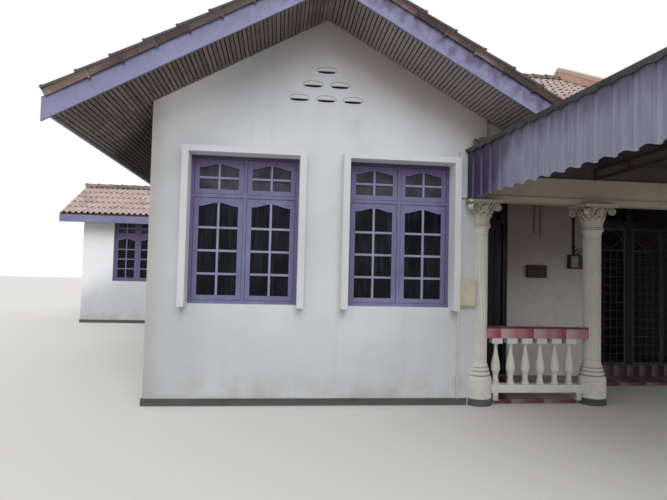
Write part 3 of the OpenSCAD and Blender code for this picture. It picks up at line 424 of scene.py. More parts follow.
def column_look():
    look = Look("column_cast")
    z = look.axes()[2]
    broad = look.noise(3.0, 3.0)
    grime = look.noise(22.0, 6.0)
    look.start(look.fade(broad, 0.3, 0.7), (198, 196, 190), (208, 206, 201))
    high = look.fade(wander(z, broad, 0.1), CAPITAL_Z, CAPITAL_Z + 0.16)
    look.lay(high * 0.55, (184, 172, 146))
    # Grime and painted shade in the hollows, from ambient occlusion.
    grime_and_painted_shade = look.fade(wander(look.hollow(0.03), grime, 0.25), 0.12, 0.55)
    look.lay(grime_and_painted_shade * (0.45 + high * 0.45), (78, 66, 50))
    look.lay(look.fade(z, 0.35, 0.1) * look.fade(grime, 0.4, 0.65) * 0.3, (146, 142, 132))
    look.bump(grime, 0.3, 0.003)
    return look.finish(0.75 + broad * 0.15)


dress(column_look(), "column_left", "column_middle", "column_right")
print("columns dressed")

# %% [markdown]
# ## Violet joinery
# Windows, doors and their frames wear a violet gloss paint that has gone chalky.
# The heads and the outer stiles stand in the shade of the reveals, so they are
# painted darker and more purple as painted shade: two fades, one by height and
# one by the distance from a window's middle, lay it. The very top, close under
# the reveal, carries a nearly black painted shadow. Joints and hollows are
# darkened with dirt and painted shade. Wood grain is a noise stretched along each
# member.

# %% Joinery
WINDOW_W = 1.2
WINDOW_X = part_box("front_frames")[1].x - WINDOW_W / 2
HEAD_SHADE = 2.69


def gloss_paint(name, deep, pale, chalk, shaded):
    look = Look(name, Coat_Weight=0.15)
    x, y, z = look.axes()
    blotch = look.noise(2.2, 4.0)
    grain = look.noise(9.0, 6.0, stretch=(7, 7, 0.7))
    worn = look.noise(34.0, 6.0)
    look.start(look.fade(blotch, 0.3, 0.72), deep, pale)
    look.lay(look.fade(grain, 0.5, 0.75) * 0.35, chalk)
    look.lay(look.fade(worn, 0.68, 0.78) * 0.6, chalk)
    # Painted shade: darker, more purple at the heads and the outer stiles.
    from_middle = abs(abs(x) - WINDOW_X)
    kept = (look.fade(wander(z, blotch, 0.8), 1.9, 2.75)
            + look.fade(wander(from_middle, blotch, 0.3), 0.4, 0.62))
    look.lay(look.fade(kept, 0.1, 1.2) * 0.75, shaded)
    # Painted shadow close under the reveal's head.
    look.lay(look.fade(wander(z, worn, 0.02), HEAD_SHADE, HEAD_SHADE + 0.05) * 0.6, (52, 40, 66))
    # Dirt and painted shade in the joints and hollows.
    look.lay(look.fade(wander(look.hollow(0.02), worn, 0.2), 0.2, 0.6) * 0.45, (40, 34, 50))
    look.bump(grain)
    return look.finish(0.35 + blotch * 0.25)


joinery = gloss_paint("joinery_violet", (92, 92, 126), (106, 112, 144), (132, 136, 166), (92, 76, 118))
door_violet = gloss_paint("door_violet", (26, 20, 34), (34, 27, 44), (50, 44, 62), (24, 18, 30))
dress(joinery, "front_frames", "front_sashes", "back_windows")
dress(door_violet, "door_frame", "door_leaf", "entrance_frame")
print("joinery painted, windows' middle at", round(WINDOW_X, 3))

# %% [markdown]
# ## Lilac boards
# The bargeboards are pale lilac. Rain comes off the verge tiles and leaves dark
# marks that hang from the boards' upper edge, more of them up the right slope.
# So the paint measures its height over the soffit, not over the ground.

# %% Boards


def board_look():
    look = Look("board_lilac")
    x = look.axes()[0]
    blotch = look.noise(1.6, 5.0)
    drip = look.noise(8.0, 9.0, stretch=(1.3, 1, 1))
    grain = look.noise(30.0, 4.0, stretch=(1, 1, 0.3))
    height = wander(wander(0 - below_soffit(look), drip, 0.35), blotch, 0.25)
    look.start(look.fade(blotch, 0.3, 0.7), (116, 118, 150), (130, 132, 164))
    wet = 0.25 + look.fade(x, -1.6, 0.6) * 0.65
    runs = 0.3 + look.fade(drip, 0.3, 0.66) * 0.7
    look.lay(look.fade(height, -0.02, 0.18) * runs * wet, (86, 72, 102))
    look.lay(look.fade(grain, 0.62, 0.8) * 0.25, (120, 112, 140))
    look.bump(grain, 0.2)
    return look.finish(0.45 + blotch * 0.2)


board_lilac = board_look()
dress(board_lilac, "bargeboards")
print("bargeboards painted")

# %% [markdown]
# ## Glass
# The rooms behind are dark, so the panes are nearly black, with a film of dust
# and the faint upright folds of a curtain. The top lights are rippled glass,
# painted greyer with a painted reflection of the sky.

# %% Glass
TOP_LIGHT_Z = 2.3


def glass_look():
    look = Look("window_glass", Specular_IOR_Level=0.12)
    z = look.axes()[2]
    film = look.noise(5.0, 5.0)
    look.start(look.fade(film, 0.35, 0.75), (7, 8, 15), (19, 20, 29))
    look.lay(look.fade(look.noise(3.0, 3.0, stretch=(9, 9, 0.8)), 0.5, 0.72) * 0.4, (46, 47, 58))
    # Painted reflection: the top lights are greyer, in ripples.
    rippled_sky_reflection = 0.35 + look.fade(look.noise(7.0, 3.0), 0.3, 0.75) * 0.5
    look.lay(look.fade(z, TOP_LIGHT_Z, TOP_LIGHT_Z + 0.1) * rippled_sky_reflection, (74, 74, 83))
    look.bump(look.noise(2.0, 2.0), 0.15, 0.004)
    return look.finish(0.08 + film * 0.15)


dress(glass_look(), "front_glass", "back_glass")
print("glass ready")

# %% [markdown]
# ## Glazed tiles on the rail, the kerb and the floor's edge
# The balustrade's rail is faced with glazed tiles that fade from deep red to
# pale pink and white. Each tile is one cell of a wave along X: the position
# inside the cell drives the fade, and its ends give the joints. Joints along Y
# and Z are left out where a pitch is larger than the piece.

# %% Glazed tiles
NO_JOINT = 10.0


def glazed(name, start, tile, red, pink, white, joint, tile_y=NO_JOINT, tile_z=NO_JOINT):
    look = Look(name, Coat_Weight=0.3)
    x, y, z = look.axes()
    along = x - start
    inside = (along % tile) / tile
    order = (along / tile).floor() % 2
    cloud = look.noise(18.0, 4.0)
    fade = look.fade(wander(inside, cloud, 0.3), 0.2, 0.95)
    look.start(fade, pink, red)
    look.lay((order > 0.5) * (0.95 - fade * 0.55), white)
    look.lay(look.fade(cloud, 0.5, 0.8) * 0.25, white)
    gap = (inside < 0.012) + ((y % tile_y) < 0.004) + ((z % tile_z) < 0.003)
    look.lay(gap, joint)
    look.bump(1 - gap, 0.4)
    return look.finish(0.22 + cloud * 0.2)


rail_tiles = glazed("rail_tiles", 1.90, 0.2, (140, 62, 72), (168, 112, 118), (180, 156, 158), (104, 52, 58))
kerb_tiles = glazed("kerb_tiles", 0.0, 0.1, (52, 28, 34), (74, 44, 50), (112, 98, 102), (36, 26, 28),
                    tile_z=0.1)
floor_tiles = glazed("floor_tiles", 0.05, 0.2, (84, 44, 47), (100, 60, 62), (126, 112, 112), (60, 44, 44),
                     tile_y=0.2)
dress(rail_tiles, "balustrade_rail")
dress(kerb_tiles, "entrance_kerb")
dress(floor_tiles, "veranda_floor")
print("glazed tiles ready")

# %% [markdown]
# ## Lilac sheet
# The carport's sides are lilac coated sheet with fine rolled lines, dulled and
# streaked darker under the flashing, where rain never washes it, and darkened
# with painted shade near the wall. The colour also knows where in a rib it is, by
# the same pitch that shapes the sheet later: in the open the pans between the
# ribs are painted paler as painted light and one face of each rib is painted
# darker as painted shade, while in the shade by the wall that face gets a painted
# highlight.

# %% Coated sheet
SHEET_PITCH, SHEET_SKEW = 0.197, math.radians(5)
SHEET_START = 0.025
SHADE_Y = -0.45
LEFT_SIDE_X = 3.0


def coated_sheet():
    look = Look("sheet_lilac")
    x, y, z = look.axes()
    lines = look.noise(40.0, 3.0, stretch=(1, 1, 0.01))
    run = look.noise(5.0, 6.0, stretch=(2, 2, 0.5))
    drift = look.noise(1.6, 4.0)
    shade = look.fade(wander(y, drift, 0.4), SHADE_Y - 0.65, SHADE_Y + 0.15)
    unshaded = 1 - shade
    look.start(look.fade(run, 0.3, 0.7), (134, 136, 158), (150, 152, 173))
    look.lay(look.fade(lines, 0.45, 0.62) * 0.35, (108, 104, 130))
    # Streaked darker under the flashing, deeper in the painted shade near the wall.
    top = look.fade(wander(z, run, 0.5) + shade * 0.5, 2.60, 2.93)
    look.lay(top * (0.74 + shade * 0.22), (68, 54, 80))
    phase = ((0 - y - SHEET_START) / (SHEET_PITCH * math.cos(SHEET_SKEW))) % 1
    left_side = x < LEFT_SIDE_X
    # Painted light: the pans are paler in the open.
    pan = look.fade(phase, 0.67, 0.71) * look.fade(phase, 0.99, 0.94) * left_side
    look.lay(pan * unshaded * 0.28, (182, 182, 204))
    # Painted shade near the wall.
    look.lay(shade * 0.75, (56, 46, 78))
    # Painted shade on one face of each rib in the open, a painted highlight on it in the shade.
    face = look.fade(phase, 0.58, 0.62) * look.fade(phase, 0.69, 0.66) * left_side
    look.lay(face * unshaded * 0.4, (104, 104, 126))
    look.lay(face * shade * 0.22 * look.fade(z, 2.88, 2.68), (150, 146, 182))
    look.bump(lines, 0.35)
    return look.finish(0.4 + run * 0.25)


lilac_sheet = coated_sheet()
print("lilac sheet ready")

# %% [markdown]
# ## Dull coats
# Old paint on steel, bare wood and weathered plastic differ in colour more than
# in kind: two tones in patches, and spots of rust or dirt. One function makes
# them all. Trusses wear red oxide primer, grilles dark paint, the flashing plain
# dull grey.

# %% Dull finishes


def dull_coat(name, first, second, spot, spotted=0.5, roughness=0.55):
    look = Look(name)
    patch = look.noise(6.0, 6.0)
    spots = look.noise(40.0, 5.0)
    look.start(look.fade(patch, 0.35, 0.65), first, second)
    look.lay(look.fade(spots, 0.6, 0.72) * spotted, spot)
    look.bump(spots, distance=0.001)
    return look.finish(roughness - 0.1 + patch * 0.25)


grey_sheet = dull_coat("sheet_grey", (58, 61, 62), (72, 75, 76), (54, 47, 42), 0.35)
steel_red = dull_coat("frame_steel", (82, 62, 56), (66, 60, 60), (112, 66, 48))
dark_wood = dull_coat("bearer_wood", (70, 54, 46), (86, 68, 58), (50, 38, 34), roughness=0.85)
dress(grey_sheet, "carport_flashing", "carport_roof")
dress(steel_red, "carport_trusses", "carport_purlins", "carport_posts")
dress(dark_wood, "verge_bearers")
print("metal and bearers dressed")

# %% [markdown]
# ## Clay and timber
# Roof tiles are the same clay, but no two are fired alike, and lichen darkens
# some. Each tile carries a number of its own, `tone`, stored by the Geometry
# Nodes tree that sets it out, so the shader can tell tiles apart. The verge
# tiles are dark on top and brown on their flanks, with a pale washed lower edge
# that shows most at the peak's right and at the left foot. The soffit's slats
# use the same number. They are painted paler to the right as painted light, and
# nearly black with painted shade inside the corner over the left wall.

# %% Clay and wood
VERGE_DARK = 0.272


def fired(look, speck, patch):
    """Ends a clay with its grit and a matt, slightly uneven surface."""
    look.bump(speck, 0.4, 0.003)
    return look.finish(0.85 + patch * 0.1)


def clay(name, dark, light, lichen, soot, sooty=0.5):
    look = Look(name)
    tone = look.tone()
    patch = look.noise(3.0, 5.0)
    speck = look.noise(45.0, 5.0)
    look.start(tone * 0.6 + patch * 0.4, dark, light)
    look.lay(look.fade(wander(patch, tone, 0.25), 0.5, 0.66) * sooty, soot)
    look.lay(look.fade(speck, 0.6, 0.72) * 0.4, lichen)
    return fired(look, speck, patch)


def verge_look():
    look = Look("verge_clay")
    tone = look.tone()
    patch = look.noise(3.5, 5.0)
    speck = look.noise(45.0, 5.0)
    x = look.axes()[0]
    height = 0 - below_soffit(look)
    look.start(tone * 0.5 + patch * 0.5, (58, 47, 48), (90, 74, 71))
    left_foot = look.fade(x, -2.0, -2.35)
    bright = look.fade(x, -0.4, 0.6) + left_foot
    washed = look.fade(wander(patch, tone, 0.3), 0.44, 0.62) * look.fade(height, 0.25, 0.2)
    look.lay(left_foot * 0.35, (140, 124, 108))
    look.lay(washed * (0.12 + bright * 0.4), (150, 132, 124))
    top = look.fade(wander(height, patch, 0.05), VERGE_DARK - 0.012, VERGE_DARK + 0.012)
    look.lay(top * 0.85, (74, 70, 70))
    look.lay(look.fade(speck, 0.6, 0.72) * 0.35, (146, 138, 126))
    return fired(look, speck, patch)


def slat_look():
    look = Look("soffit_slats", Roughness=0.85)
    grain = look.noise(12.0, 6.0, stretch=(3, 0.35, 3))
    patch = look.noise(2.5, 5.0)
    x, y, z = look.axes()
    look.start(look.tone() * 0.5 + patch * 0.5, (102, 88, 82), (142, 128, 120))
    look.lay(look.fade(grain, 0.5, 0.7) * 0.45, (84, 68, 62))
    look.lay(look.fade(patch, 0.55, 0.75) * 0.45, (158, 148, 142))
    # Painted light: the slats are paler to the right.
    look.lay(look.fade(x, -0.2, 0.8) * 0.55, (172, 162, 166))
    # Painted shade: nearly black in the corner over the left wall.
    corner = look.fade(y, -0.03, 0.1) * look.fade(y + x * 1.2 + 2.28, -0.2, 0.5)
    look.lay(corner * 0.8, (38, 32, 30))
    look.bump(grain, 0.4)
    return look.finish()


roof_clay = clay("roof_clay", (166, 147, 141), (200, 182, 176), (182, 176, 168), (118, 107, 107))
cap_clay = clay("cap_clay", (90, 78, 74), (146, 128, 114), (146, 138, 124), (58, 54, 56), 0.8)
verge_clay = verge_look()
slat_wood = slat_look()
print("clay and wood ready")

# %% [markdown]
# ## One tree for everything in rows
# Tiles on a slope, caps on a ridge, slats in a soffit and bars in a grille are
# all one idea: a shape repeated on a grid. So one Geometry Nodes tree serves
# them all. Its input is the shape itself; its named sizes are the counts, the
# pitches and a little wobble, with a fixed seed. It stores `tone`, makes the
# instances real and sets the material. The result is turned into a plain mesh,
# laid where it belongs, and the modifier is gone.

# %% The rows tree
SOCKETS = {int: "NodeSocketInt", float: "NodeSocketFloat", type(None): "NodeSocketMaterial"}


def rows_tree():
    sizes = {"Columns": 1, "Column pitch": 0.1, "Rows": 1, "Row pitch": 0.1, "Wobble": 0.0,
             "Tilt": 0.0, "Seed": 1, "Finish": None}
    tree = bpy.data.node_groups.new("rows", "GeometryNodeTree")
    tree.interface.new_socket("Shape", in_out="INPUT", socket_type="NodeSocketGeometry")
    for name, example in sizes.items():
        tree.interface.new_socket(name, in_out="INPUT", socket_type=SOCKETS[type(example)])
    tree.interface.new_socket("Result", in_out="OUTPUT", socket_type="NodeSocketGeometry")
    net = Net(tree)
    entry = tree.nodes.new("NodeGroupInput")
    given = {socket.name: Value(net, socket) for socket in entry.outputs}

    def line(count, **offset):
        step = net.add("ShaderNodeCombineXYZ", None, offset)
        return net.add("GeometryNodeMeshLine", None, {"Count": count, "Offset": step})

    def spread(size, seed):
        return net.add("FunctionNodeRandomValue", {"data_type": "FLOAT_VECTOR"},
                       {0: 0 - size, 1: size, "Seed": seed})

    across = line(given["Columns"], X=given["Column pitch"])
    along = line(given["Rows"], Y=given["Row pitch"])
    grid = net.add("GeometryNodeInstanceOnPoints", None, {"Points": along, "Instance": across})
    grid = net.add("GeometryNodeRealizeInstances", None, {"Geometry": grid})
    grid = net.add("GeometryNodeSetPosition", None,
                   {"Geometry": grid, "Offset": spread(given["Wobble"], given["Seed"])})
    copies = net.add("GeometryNodeInstanceOnPoints", None,
                     {"Points": grid, "Instance": given["Shape"],
                      "Rotation": spread(given["Tilt"], given["Seed"] + 1)})
    tone = net.add("FunctionNodeRandomValue", {"data_type": "FLOAT"}, {"Seed": given["Seed"] + 2}, out=1)
    copies = net.add("GeometryNodeStoreNamedAttribute", {"data_type": "FLOAT", "domain": "INSTANCE"},
                     {"Geometry": copies, "Name": "tone", "Value": tone})
    real = net.add("GeometryNodeRealizeInstances", None, {"Geometry": copies})
    real = net.add("GeometryNodeSetMaterial", None, {"Geometry": real, "Material": given["Finish"]})
    net.put(tree.nodes.new("NodeGroupOutput").inputs[0], real)
    return tree


ROWS = rows_tree()


def repeat(shape, finish, columns=1, column_pitch=0.0, rows=1, row_pitch=0.0, wobble=0.0, tilt=0.0, seed=1):
    """A plain mesh of a shape repeated on a grid in its own X-Y plane."""
    holder = bpy.data.objects.new("rows", shape)
    scene.collection.objects.link(holder)
    modifier = holder.modifiers.new("rows", "NODES")
    modifier.node_group = ROWS
    wanted = {"Columns": columns, "Column pitch": column_pitch, "Rows": rows, "Row pitch": row_pitch,
              "Wobble": wobble, "Tilt": tilt, "Seed": seed, "Finish": finish}
    for item in ROWS.interface.items_tree:
        if item.name in wanted:
            modifier[item.identifier] = wanted[item.name]
    graph = bpy.context.evaluated_depsgraph_get()
    mesh = bpy.data.meshes.new_from_object(holder.evaluated_get(graph))
    bpy.data.objects.remove(holder)
    mesh.materials.clear()
    mesh.materials.append(finish)
    mesh.polygons.foreach_set("material_index", [0] * len(mesh.polygons))
    return mesh


print("rows tree:", len(ROWS.nodes), "nodes")

# %% [markdown]
# ## Small mesh helpers
# `loft` skins a closed outline along a list of stations, which covers tiles,
# slats, bars and caps. `tube` sweeps a round bar along points. `axes_at` lays a
# mesh on a slope or a wall by three directions, and `mirrored` does it on both
# sides of the house's middle. `join` gathers meshes into one piece that rides on
# the house and may stand for a CAD node.

# %% Mesh helpers


def loft(name, outlines):
    """A closed skin through outlines of equal length, capped at both ends."""
    count = len(outlines[0])
    points = [p for outline in outlines for p in outline]
    faces = []
    for k in range(len(outlines) - 1):
        for i in range(count):
            j = (i + 1) % count
            faces.append((k * count + i, k * count + j, (k + 1) * count + j, (k + 1) * count + i))
    last = (len(outlines) - 1) * count
    for i in range(count // 2 - 1):
        ends = (i, i + 1, count - 2 - i, count - 1 - i)
        faces.append(tuple(reversed(ends)))
        faces.append(tuple(last + e for e in ends))
    mesh = bpy.data.meshes.new(name)
    mesh.from_pydata(points, [], faces)
    work = bmesh.new()
    work.from_mesh(mesh)
    bmesh.ops.recalc_face_normals(work, faces=work.faces)
    work.to_mesh(mesh)
    work.free()
    return mesh


def tube(name, path, radius, sides=8):
    """A closed round bar along a list of points."""
    path = [Vector(p) for p in path]
    outlines = []
    side = None
    for i, point in enumerate(path):
        ahead = (path[min(i + 1, len(path) - 1)] - path[max(i - 1, 0)]).normalized()
        guess = side or (Vector((0, 1, 0)) if abs(ahead.y) < 0.9 else Vector((1, 0, 0)))
        side = (guess - ahead * guess.dot(ahead)).normalized()
        other = ahead.cross(side)
        outlines.append([tuple(point + (side * math.cos(a) + other * math.sin(a)) * radius)
                         for a in (2 * math.pi * k / sides for k in range(sides))])
    return loft(name, outlines)


def arc(count, turn=math.pi):
    """Angles from 0 to turn in equal steps."""
    return [turn * k / count for k in range(count + 1)]


def eased(a0, a1, b0, b1, ease):
    """A rectangle's outline with its corners cut, in the order that loft caps."""
    return [(a0 + ease, b0), (a0, b0 + ease), (a0, b1 - ease), (a0 + ease, b1),
            (a1 - ease, b1), (a1, b1 - ease), (a1, b0 + ease), (a1 - ease, b0)]


def axes_at(origin, across, up):
    """The matrix that lays X along across, Y along up and Z square to both."""
    across, up = Vector(across).normalized(), Vector(up).normalized()
    turn = Matrix((across, up, across.cross(up))).transposed().to_4x4()
    return Matrix.Translation(Vector(origin)) @ turn


def mirrored(side, lay):
    return Matrix.Scale(side, 4, (1, 0, 0)) @ lay


def placed(mesh, matrix):
    copy = mesh.copy()
    copy.transform(matrix)
    if matrix.determinant() < 0:
        copy.flip_normals()
    return copy


def shifted(mesh, x, y, z):
    return placed(mesh, Matrix.Translation((x, y, z)))


def coated(mesh, finish):
    mesh.materials.append(finish)
    return mesh


def merged(name, meshes):
    """Several meshes as one, so that they are repeated or laid together."""
    work = bmesh.new()
    for mesh in meshes:
        work.from_mesh(mesh)
    whole = bpy.data.meshes.new(name)
    work.to_mesh(whole)
    work.free()
    return whole


def join(name, meshes, slot, *stands_for):
    """One piece at the origin from several meshes, with their materials."""
    work = bmesh.new()
    finishes = []
    for mesh in meshes:
        start = len(work.faces)
        work.from_mesh(mesh)
        work.faces.ensure_lookup_table()
        for face in work.faces[start:]:
            finish = mesh.materials[face.material_index]
            if finish not in finishes:
                finishes.append(finish)
            face.material_index = finishes.index(finish)
    whole = bpy.data.meshes.new(name)
    work.to_mesh(whole)
    work.free()
    for finish in finishes:
        whole.materials.append(finish)
    piece = bpy.data.objects.new(name, whole)
    scene.collection.objects.link(piece)
    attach(piece, HOUSE)
    if stands_for:
        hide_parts(*stands_for)
    print(name, len(whole.polygons), "faces")


print("mesh helpers ready")

# %% [markdown]
# ## One roof tile
# The roof wears clay tiles with two rounded rolls beside flat pans. One covers
# 0.29 m across and shows 0.37 m up the slope. A tile lies a little flatter than
# the roof, because its lower end rests on the course below, and its rolls are
# taller at that end. This step is what gives the rows of dark crescents under
# the rolls.

# %% One roof tile
TILE_W, TILE_T = 0.29, 0.011
GAUGE, TILE_LAP = 0.372, 0.05
ROLLS, ROLL_STEPS, PAN_SHARE = 2, 6, 0.40
ROLL_FOOT, ROLL_HEAD = 0.048, 0.026
TILE_DROP = 0.016


def tile_section(roll):
    """Heights across the tile: pan, roll, pan, roll."""
    cell = TILE_W / ROLLS
    pan = cell * PAN_SHARE
    points = []
    for k in range(ROLLS):
        points += [(k * cell, 0.0), (k * cell + pan, 0.0)]
        for i in range(1, ROLL_STEPS):
            share = i / ROLL_STEPS
            points.append((k * cell + pan + (cell - pan) * share, roll * math.sin(math.pi * share)))
    return points + [(TILE_W, 0.0)]


def tile_mesh(length=GAUGE + TILE_LAP):
    """A tile along Y, its lower end at Y = 0."""
    outlines = []
    for y, z, roll in ((0.0, 0.0, ROLL_FOOT), (length, -TILE_DROP, ROLL_HEAD)):
        top = tile_section(roll)
        upper = [(x, y, z + h) for x, h in top]
        lower = [(x, y, z + h - TILE_T) for x, h in reversed(top)]
        outlines.append(upper + lower)
    return loft("tile", outlines)


TILE = tile_mesh()
print("one tile:", len(TILE.polygons), "faces")

# %% [markdown]
# ## A field of tiles, cut to its slope
# Each slope is set out from its eave, then cut to the slope's own outline, which
# is read from the top of the CAD layer: the field is cut along the sides of each
# triangle of that outline, and the cuts are closed only where no other triangle
# follows. Boards close the slope below the tiles.

# %% Tiled slopes
TILE_BED = 0.034
BOARD_DROP = 0.066


def top_triangles(node, normal):
    """The triangles of a CAD node's face that looks along normal."""
    mesh = nodes[node].data
    return [[mesh.vertices[i].co.copy() for i in face.vertices]
            for face in mesh.polygons if face.normal.dot(normal) > 0.999]


def trim(mesh, triangles):
    """Keeps what lies over the triangles, seen in plan, and closes the cuts at their outer edges."""
    def key(a, b):
        return frozenset(((round(a.x, 3), round(a.y, 3)), (round(b.x, 3), round(b.y, 3))))
    uses = Counter(key(t[i], t[(i + 1) % 3]) for t in triangles for i in range(3))
    whole = bmesh.new()
    for a, b, c in triangles:
        if (b - a).cross(c - a).z < 0:
            b, c = c, b
        part = bmesh.new()
        part.from_mesh(mesh)
        for start, end in ((a, b), (b, c), (c, a)):
            inward = Vector((start.y - end.y, end.x - start.x, 0)).normalized()
            everything = part.verts[:] + part.edges[:] + part.faces[:]
            cut = bmesh.ops.bisect_plane(part, geom=everything, dist=1e-5, plane_co=start,
                                         plane_no=inward, clear_inner=True)
            if uses[key(start, end)] == 1:
                rim = [e for e in cut["geom_cut"] if isinstance(e, bmesh.types.BMEdge)]
                bmesh.ops.holes_fill(part, edges=rim, sides=0)
        kept = bpy.data.meshes.new("kept")
        part.to_mesh(kept)
        part.free()
        whole.from_mesh(kept)
    bmesh.ops.remove_doubles(whole, verts=whole.verts, dist=2e-5)
    result = bpy.data.meshes.new("tiles")
    whole.to_mesh(result)
    whole.free()
    return coated(result, mesh.materials[0])


def sarking(node, normal):
    """The boards below the tiles: the CAD layer with its upper face let down."""
    mesh = nodes[node].data.copy()
    work = bmesh.new()
    work.from_mesh(mesh)
    bmesh.ops.remove_doubles(work, verts=work.verts, dist=1e-4)
    level = max(v.co.dot(normal) for v in work.verts)
    for vert in work.verts:
        if level - vert.co.dot(normal) < 0.005:
            vert.co.z -= BOARD_DROP / normal.z
    work.to_mesh(mesh)
    work.free()
    mesh.materials.clear()
    return coated(mesh, dark_wood)


def tile_slope(name, node, across, up, seed):
    across, up = Vector(across), Vector(up).normalized()
    normal = across.cross(up)
    triangles = top_triangles(node, normal)
    corners = [p for t in triangles for p in t]
    left = min(p.dot(across) for p in corners)
    right = max(p.dot(across) for p in corners)
    low = min(p.dot(up) for p in corners)
    high = max(p.dot(up) for p in corners)
    level = corners[0].dot(normal) - TILE_BED
    field = repeat(TILE, roof_clay, math.ceil((right - left) / TILE_W), TILE_W,
                   math.ceil((high - low) / GAUGE), GAUGE, wobble=0.001, tilt=0.005, seed=seed)
    field.transform(axes_at(across * left + up * low + normal * level, across, up))
    join(name, [trim(field, triangles), sarking(node, normal)], "roof_tile", node)


UP_MAIN = (0, MAIN_COS, MAIN_SIN)
tile_slope("wing_left_tiles", "wing_roof_left", (0, -1, 0), (WING_COS, 0, WING_SIN), 11)
tile_slope("wing_right_tiles", "wing_roof_right", (0, 1, 0), (-WING_COS, 0, WING_SIN), 12)
tile_slope("main_front_tiles", "main_roof_front", (1, 0, 0), UP_MAIN, 13)
tile_slope("rear_tiles", "rear_roof", (-1, 0, 0), (0, -MAIN_COS, MAIN_SIN), 14)
tile_slope("annex_tiles", "annex_roof_front", (1, 0, 0), UP_MAIN, 15)

# %% [markdown]
# ## The last tiles of the veranda's roof
# Beside the gable, two short tile ends of the veranda's lowest courses look out
# over the carport's flashing. They are the same tile, only cut shorter, and as
# dark as the caps, because water from the valley runs over them.

# %% Tile ends beside the gable
STUBS = ((1.72, -0.27, 2.935, 0.27), (1.74, -0.17, 3.010, 0.17))
join("eave_tile_stub",
     [placed(repeat(tile_mesh(length), cap_clay, tilt=0.01, seed=17), axes_at((x, y, z), (1, 0, 0), UP_MAIN))
      for x, y, z, length in STUBS], "cap_tile", "eave_tiles")

# %% [markdown]
# ## Soffit slats
# Under the eaves run narrow boards with open joints, about 48 mm apart, fixed
# below the bearers. They all run from front to back, and beside the wing they go
# on along the left eave. The gaps stay open, and the dark roof space shows
# through them.

# %% Slats
SLAT_W, SLAT_T, SLAT_START, SLAT_COUNT = 0.037, 0.012, 0.004, 63
EAVE_LEFT, VERGE_Y, SLATS_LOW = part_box("soffits")[0]
EAVE_RIGHT, ANNEX_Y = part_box("soffits")[1].xy
SLAT_PITCH = (-EAVE_LEFT / WING_COS - 0.005) / SLAT_COUNT


def slat_mesh(length, bevel=0.002):
    """A slat along Y, its upper face at Z = 0, with eased lower edges."""
    section = [(0, 0), (0, -SLAT_T + bevel), (bevel, -SLAT_T), (SLAT_W - bevel, -SLAT_T),
               (SLAT_W, -SLAT_T + bevel), (SLAT_W, 0)]
    return loft("slat", [[(x, y, z) for x, z in section] for y in (0.0, length)])


def slat_field(side, reach, y, length, seed, first=0):
    """Slats from the first one outwards, down the slope of one side."""
    count = int(reach / WING_COS / SLAT_PITCH) - first
    mesh = repeat(slat_mesh(length), slat_wood, count, SLAT_PITCH, wobble=0.0008, seed=seed)
    corner = (SLAT_START + first * SLAT_PITCH * WING_COS, y,
              SOFFIT_PEAK + SLAT_T / WING_COS - first * SLAT_PITCH * WING_SIN)
    return placed(mesh, mirrored(side, axes_at(corner, (WING_COS, 0, -WING_SIN), (0, 1, 0))))


past_wall = math.ceil(-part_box("front_wall")[0].x / WING_COS / SLAT_PITCH)
join("soffit_slats", [
    slat_field(-1, -EAVE_LEFT, VERGE_Y, -VERGE_Y - 0.001, 19),
    slat_field(1, EAVE_RIGHT, VERGE_Y, -VERGE_Y - 0.001, 21),
    slat_field(-1, -EAVE_LEFT, 0.001, ANNEX_Y - 0.002, 23, past_wall),
], "soffit_wood", "soffits")
print("slats every", round(SLAT_PITCH * 1000, 1), "mm")

# %% [markdown]
# ## Ridge caps
# A cap tile is half a barrel that is wider at its lower end, where it has a rim
# and laps over the next one. The same tree lays them along each ridge and hip,
# from the low end up. The ridges' ends are worked out from the pitches of the
# roofs that meet there.

# %% Caps
CAP_GAUGE, CAP_LAP = 0.33, 0.06
CAP_R, CAP_T, CAP_SINK = 0.112, 0.013, 0.05
SLAT_BOARD, RAFTER, TILE_LAYER = 0.015, 0.150, 0.080
ANNEX_FRONT, REAR_FACE = 8.4, 11.0


def cap_mesh(steps=10):
    """Half a barrel along Y, its wide lower end at Y = 0."""
    outlines = []
    for y, radius in ((0.0, CAP_R + 0.006), (0.03, CAP_R + 0.006), (0.032, CAP_R - 0.002),
                      (CAP_GAUGE + CAP_LAP, CAP_R - 0.018)):
        outer = [(radius * math.cos(a), y, radius * math.sin(a)) for a in arc(steps)]
        inner = [(x * (1 - CAP_T / radius), y, z * (1 - CAP_T / radius)) for x, y, z in reversed(outer)]
        outlines.append(outer + inner)
    return loft("cap", outlines)


CAP = cap_mesh()


def cap_run(start, end, seed):
    """Caps lapped upwards from start to end."""
    start, end = Vector(start), Vector(end)
    along = end - start
    count = max(1, round(along.length / CAP_GAUGE))
    across = along.cross(Vector((0, 0, 1)))
    row = repeat(CAP, cap_clay, rows=count, row_pitch=along.length / count, wobble=0.002, tilt=0.01,
                 seed=seed)
    return placed(row, axes_at(start - Vector((0, 0, CAP_SINK)), across, along))


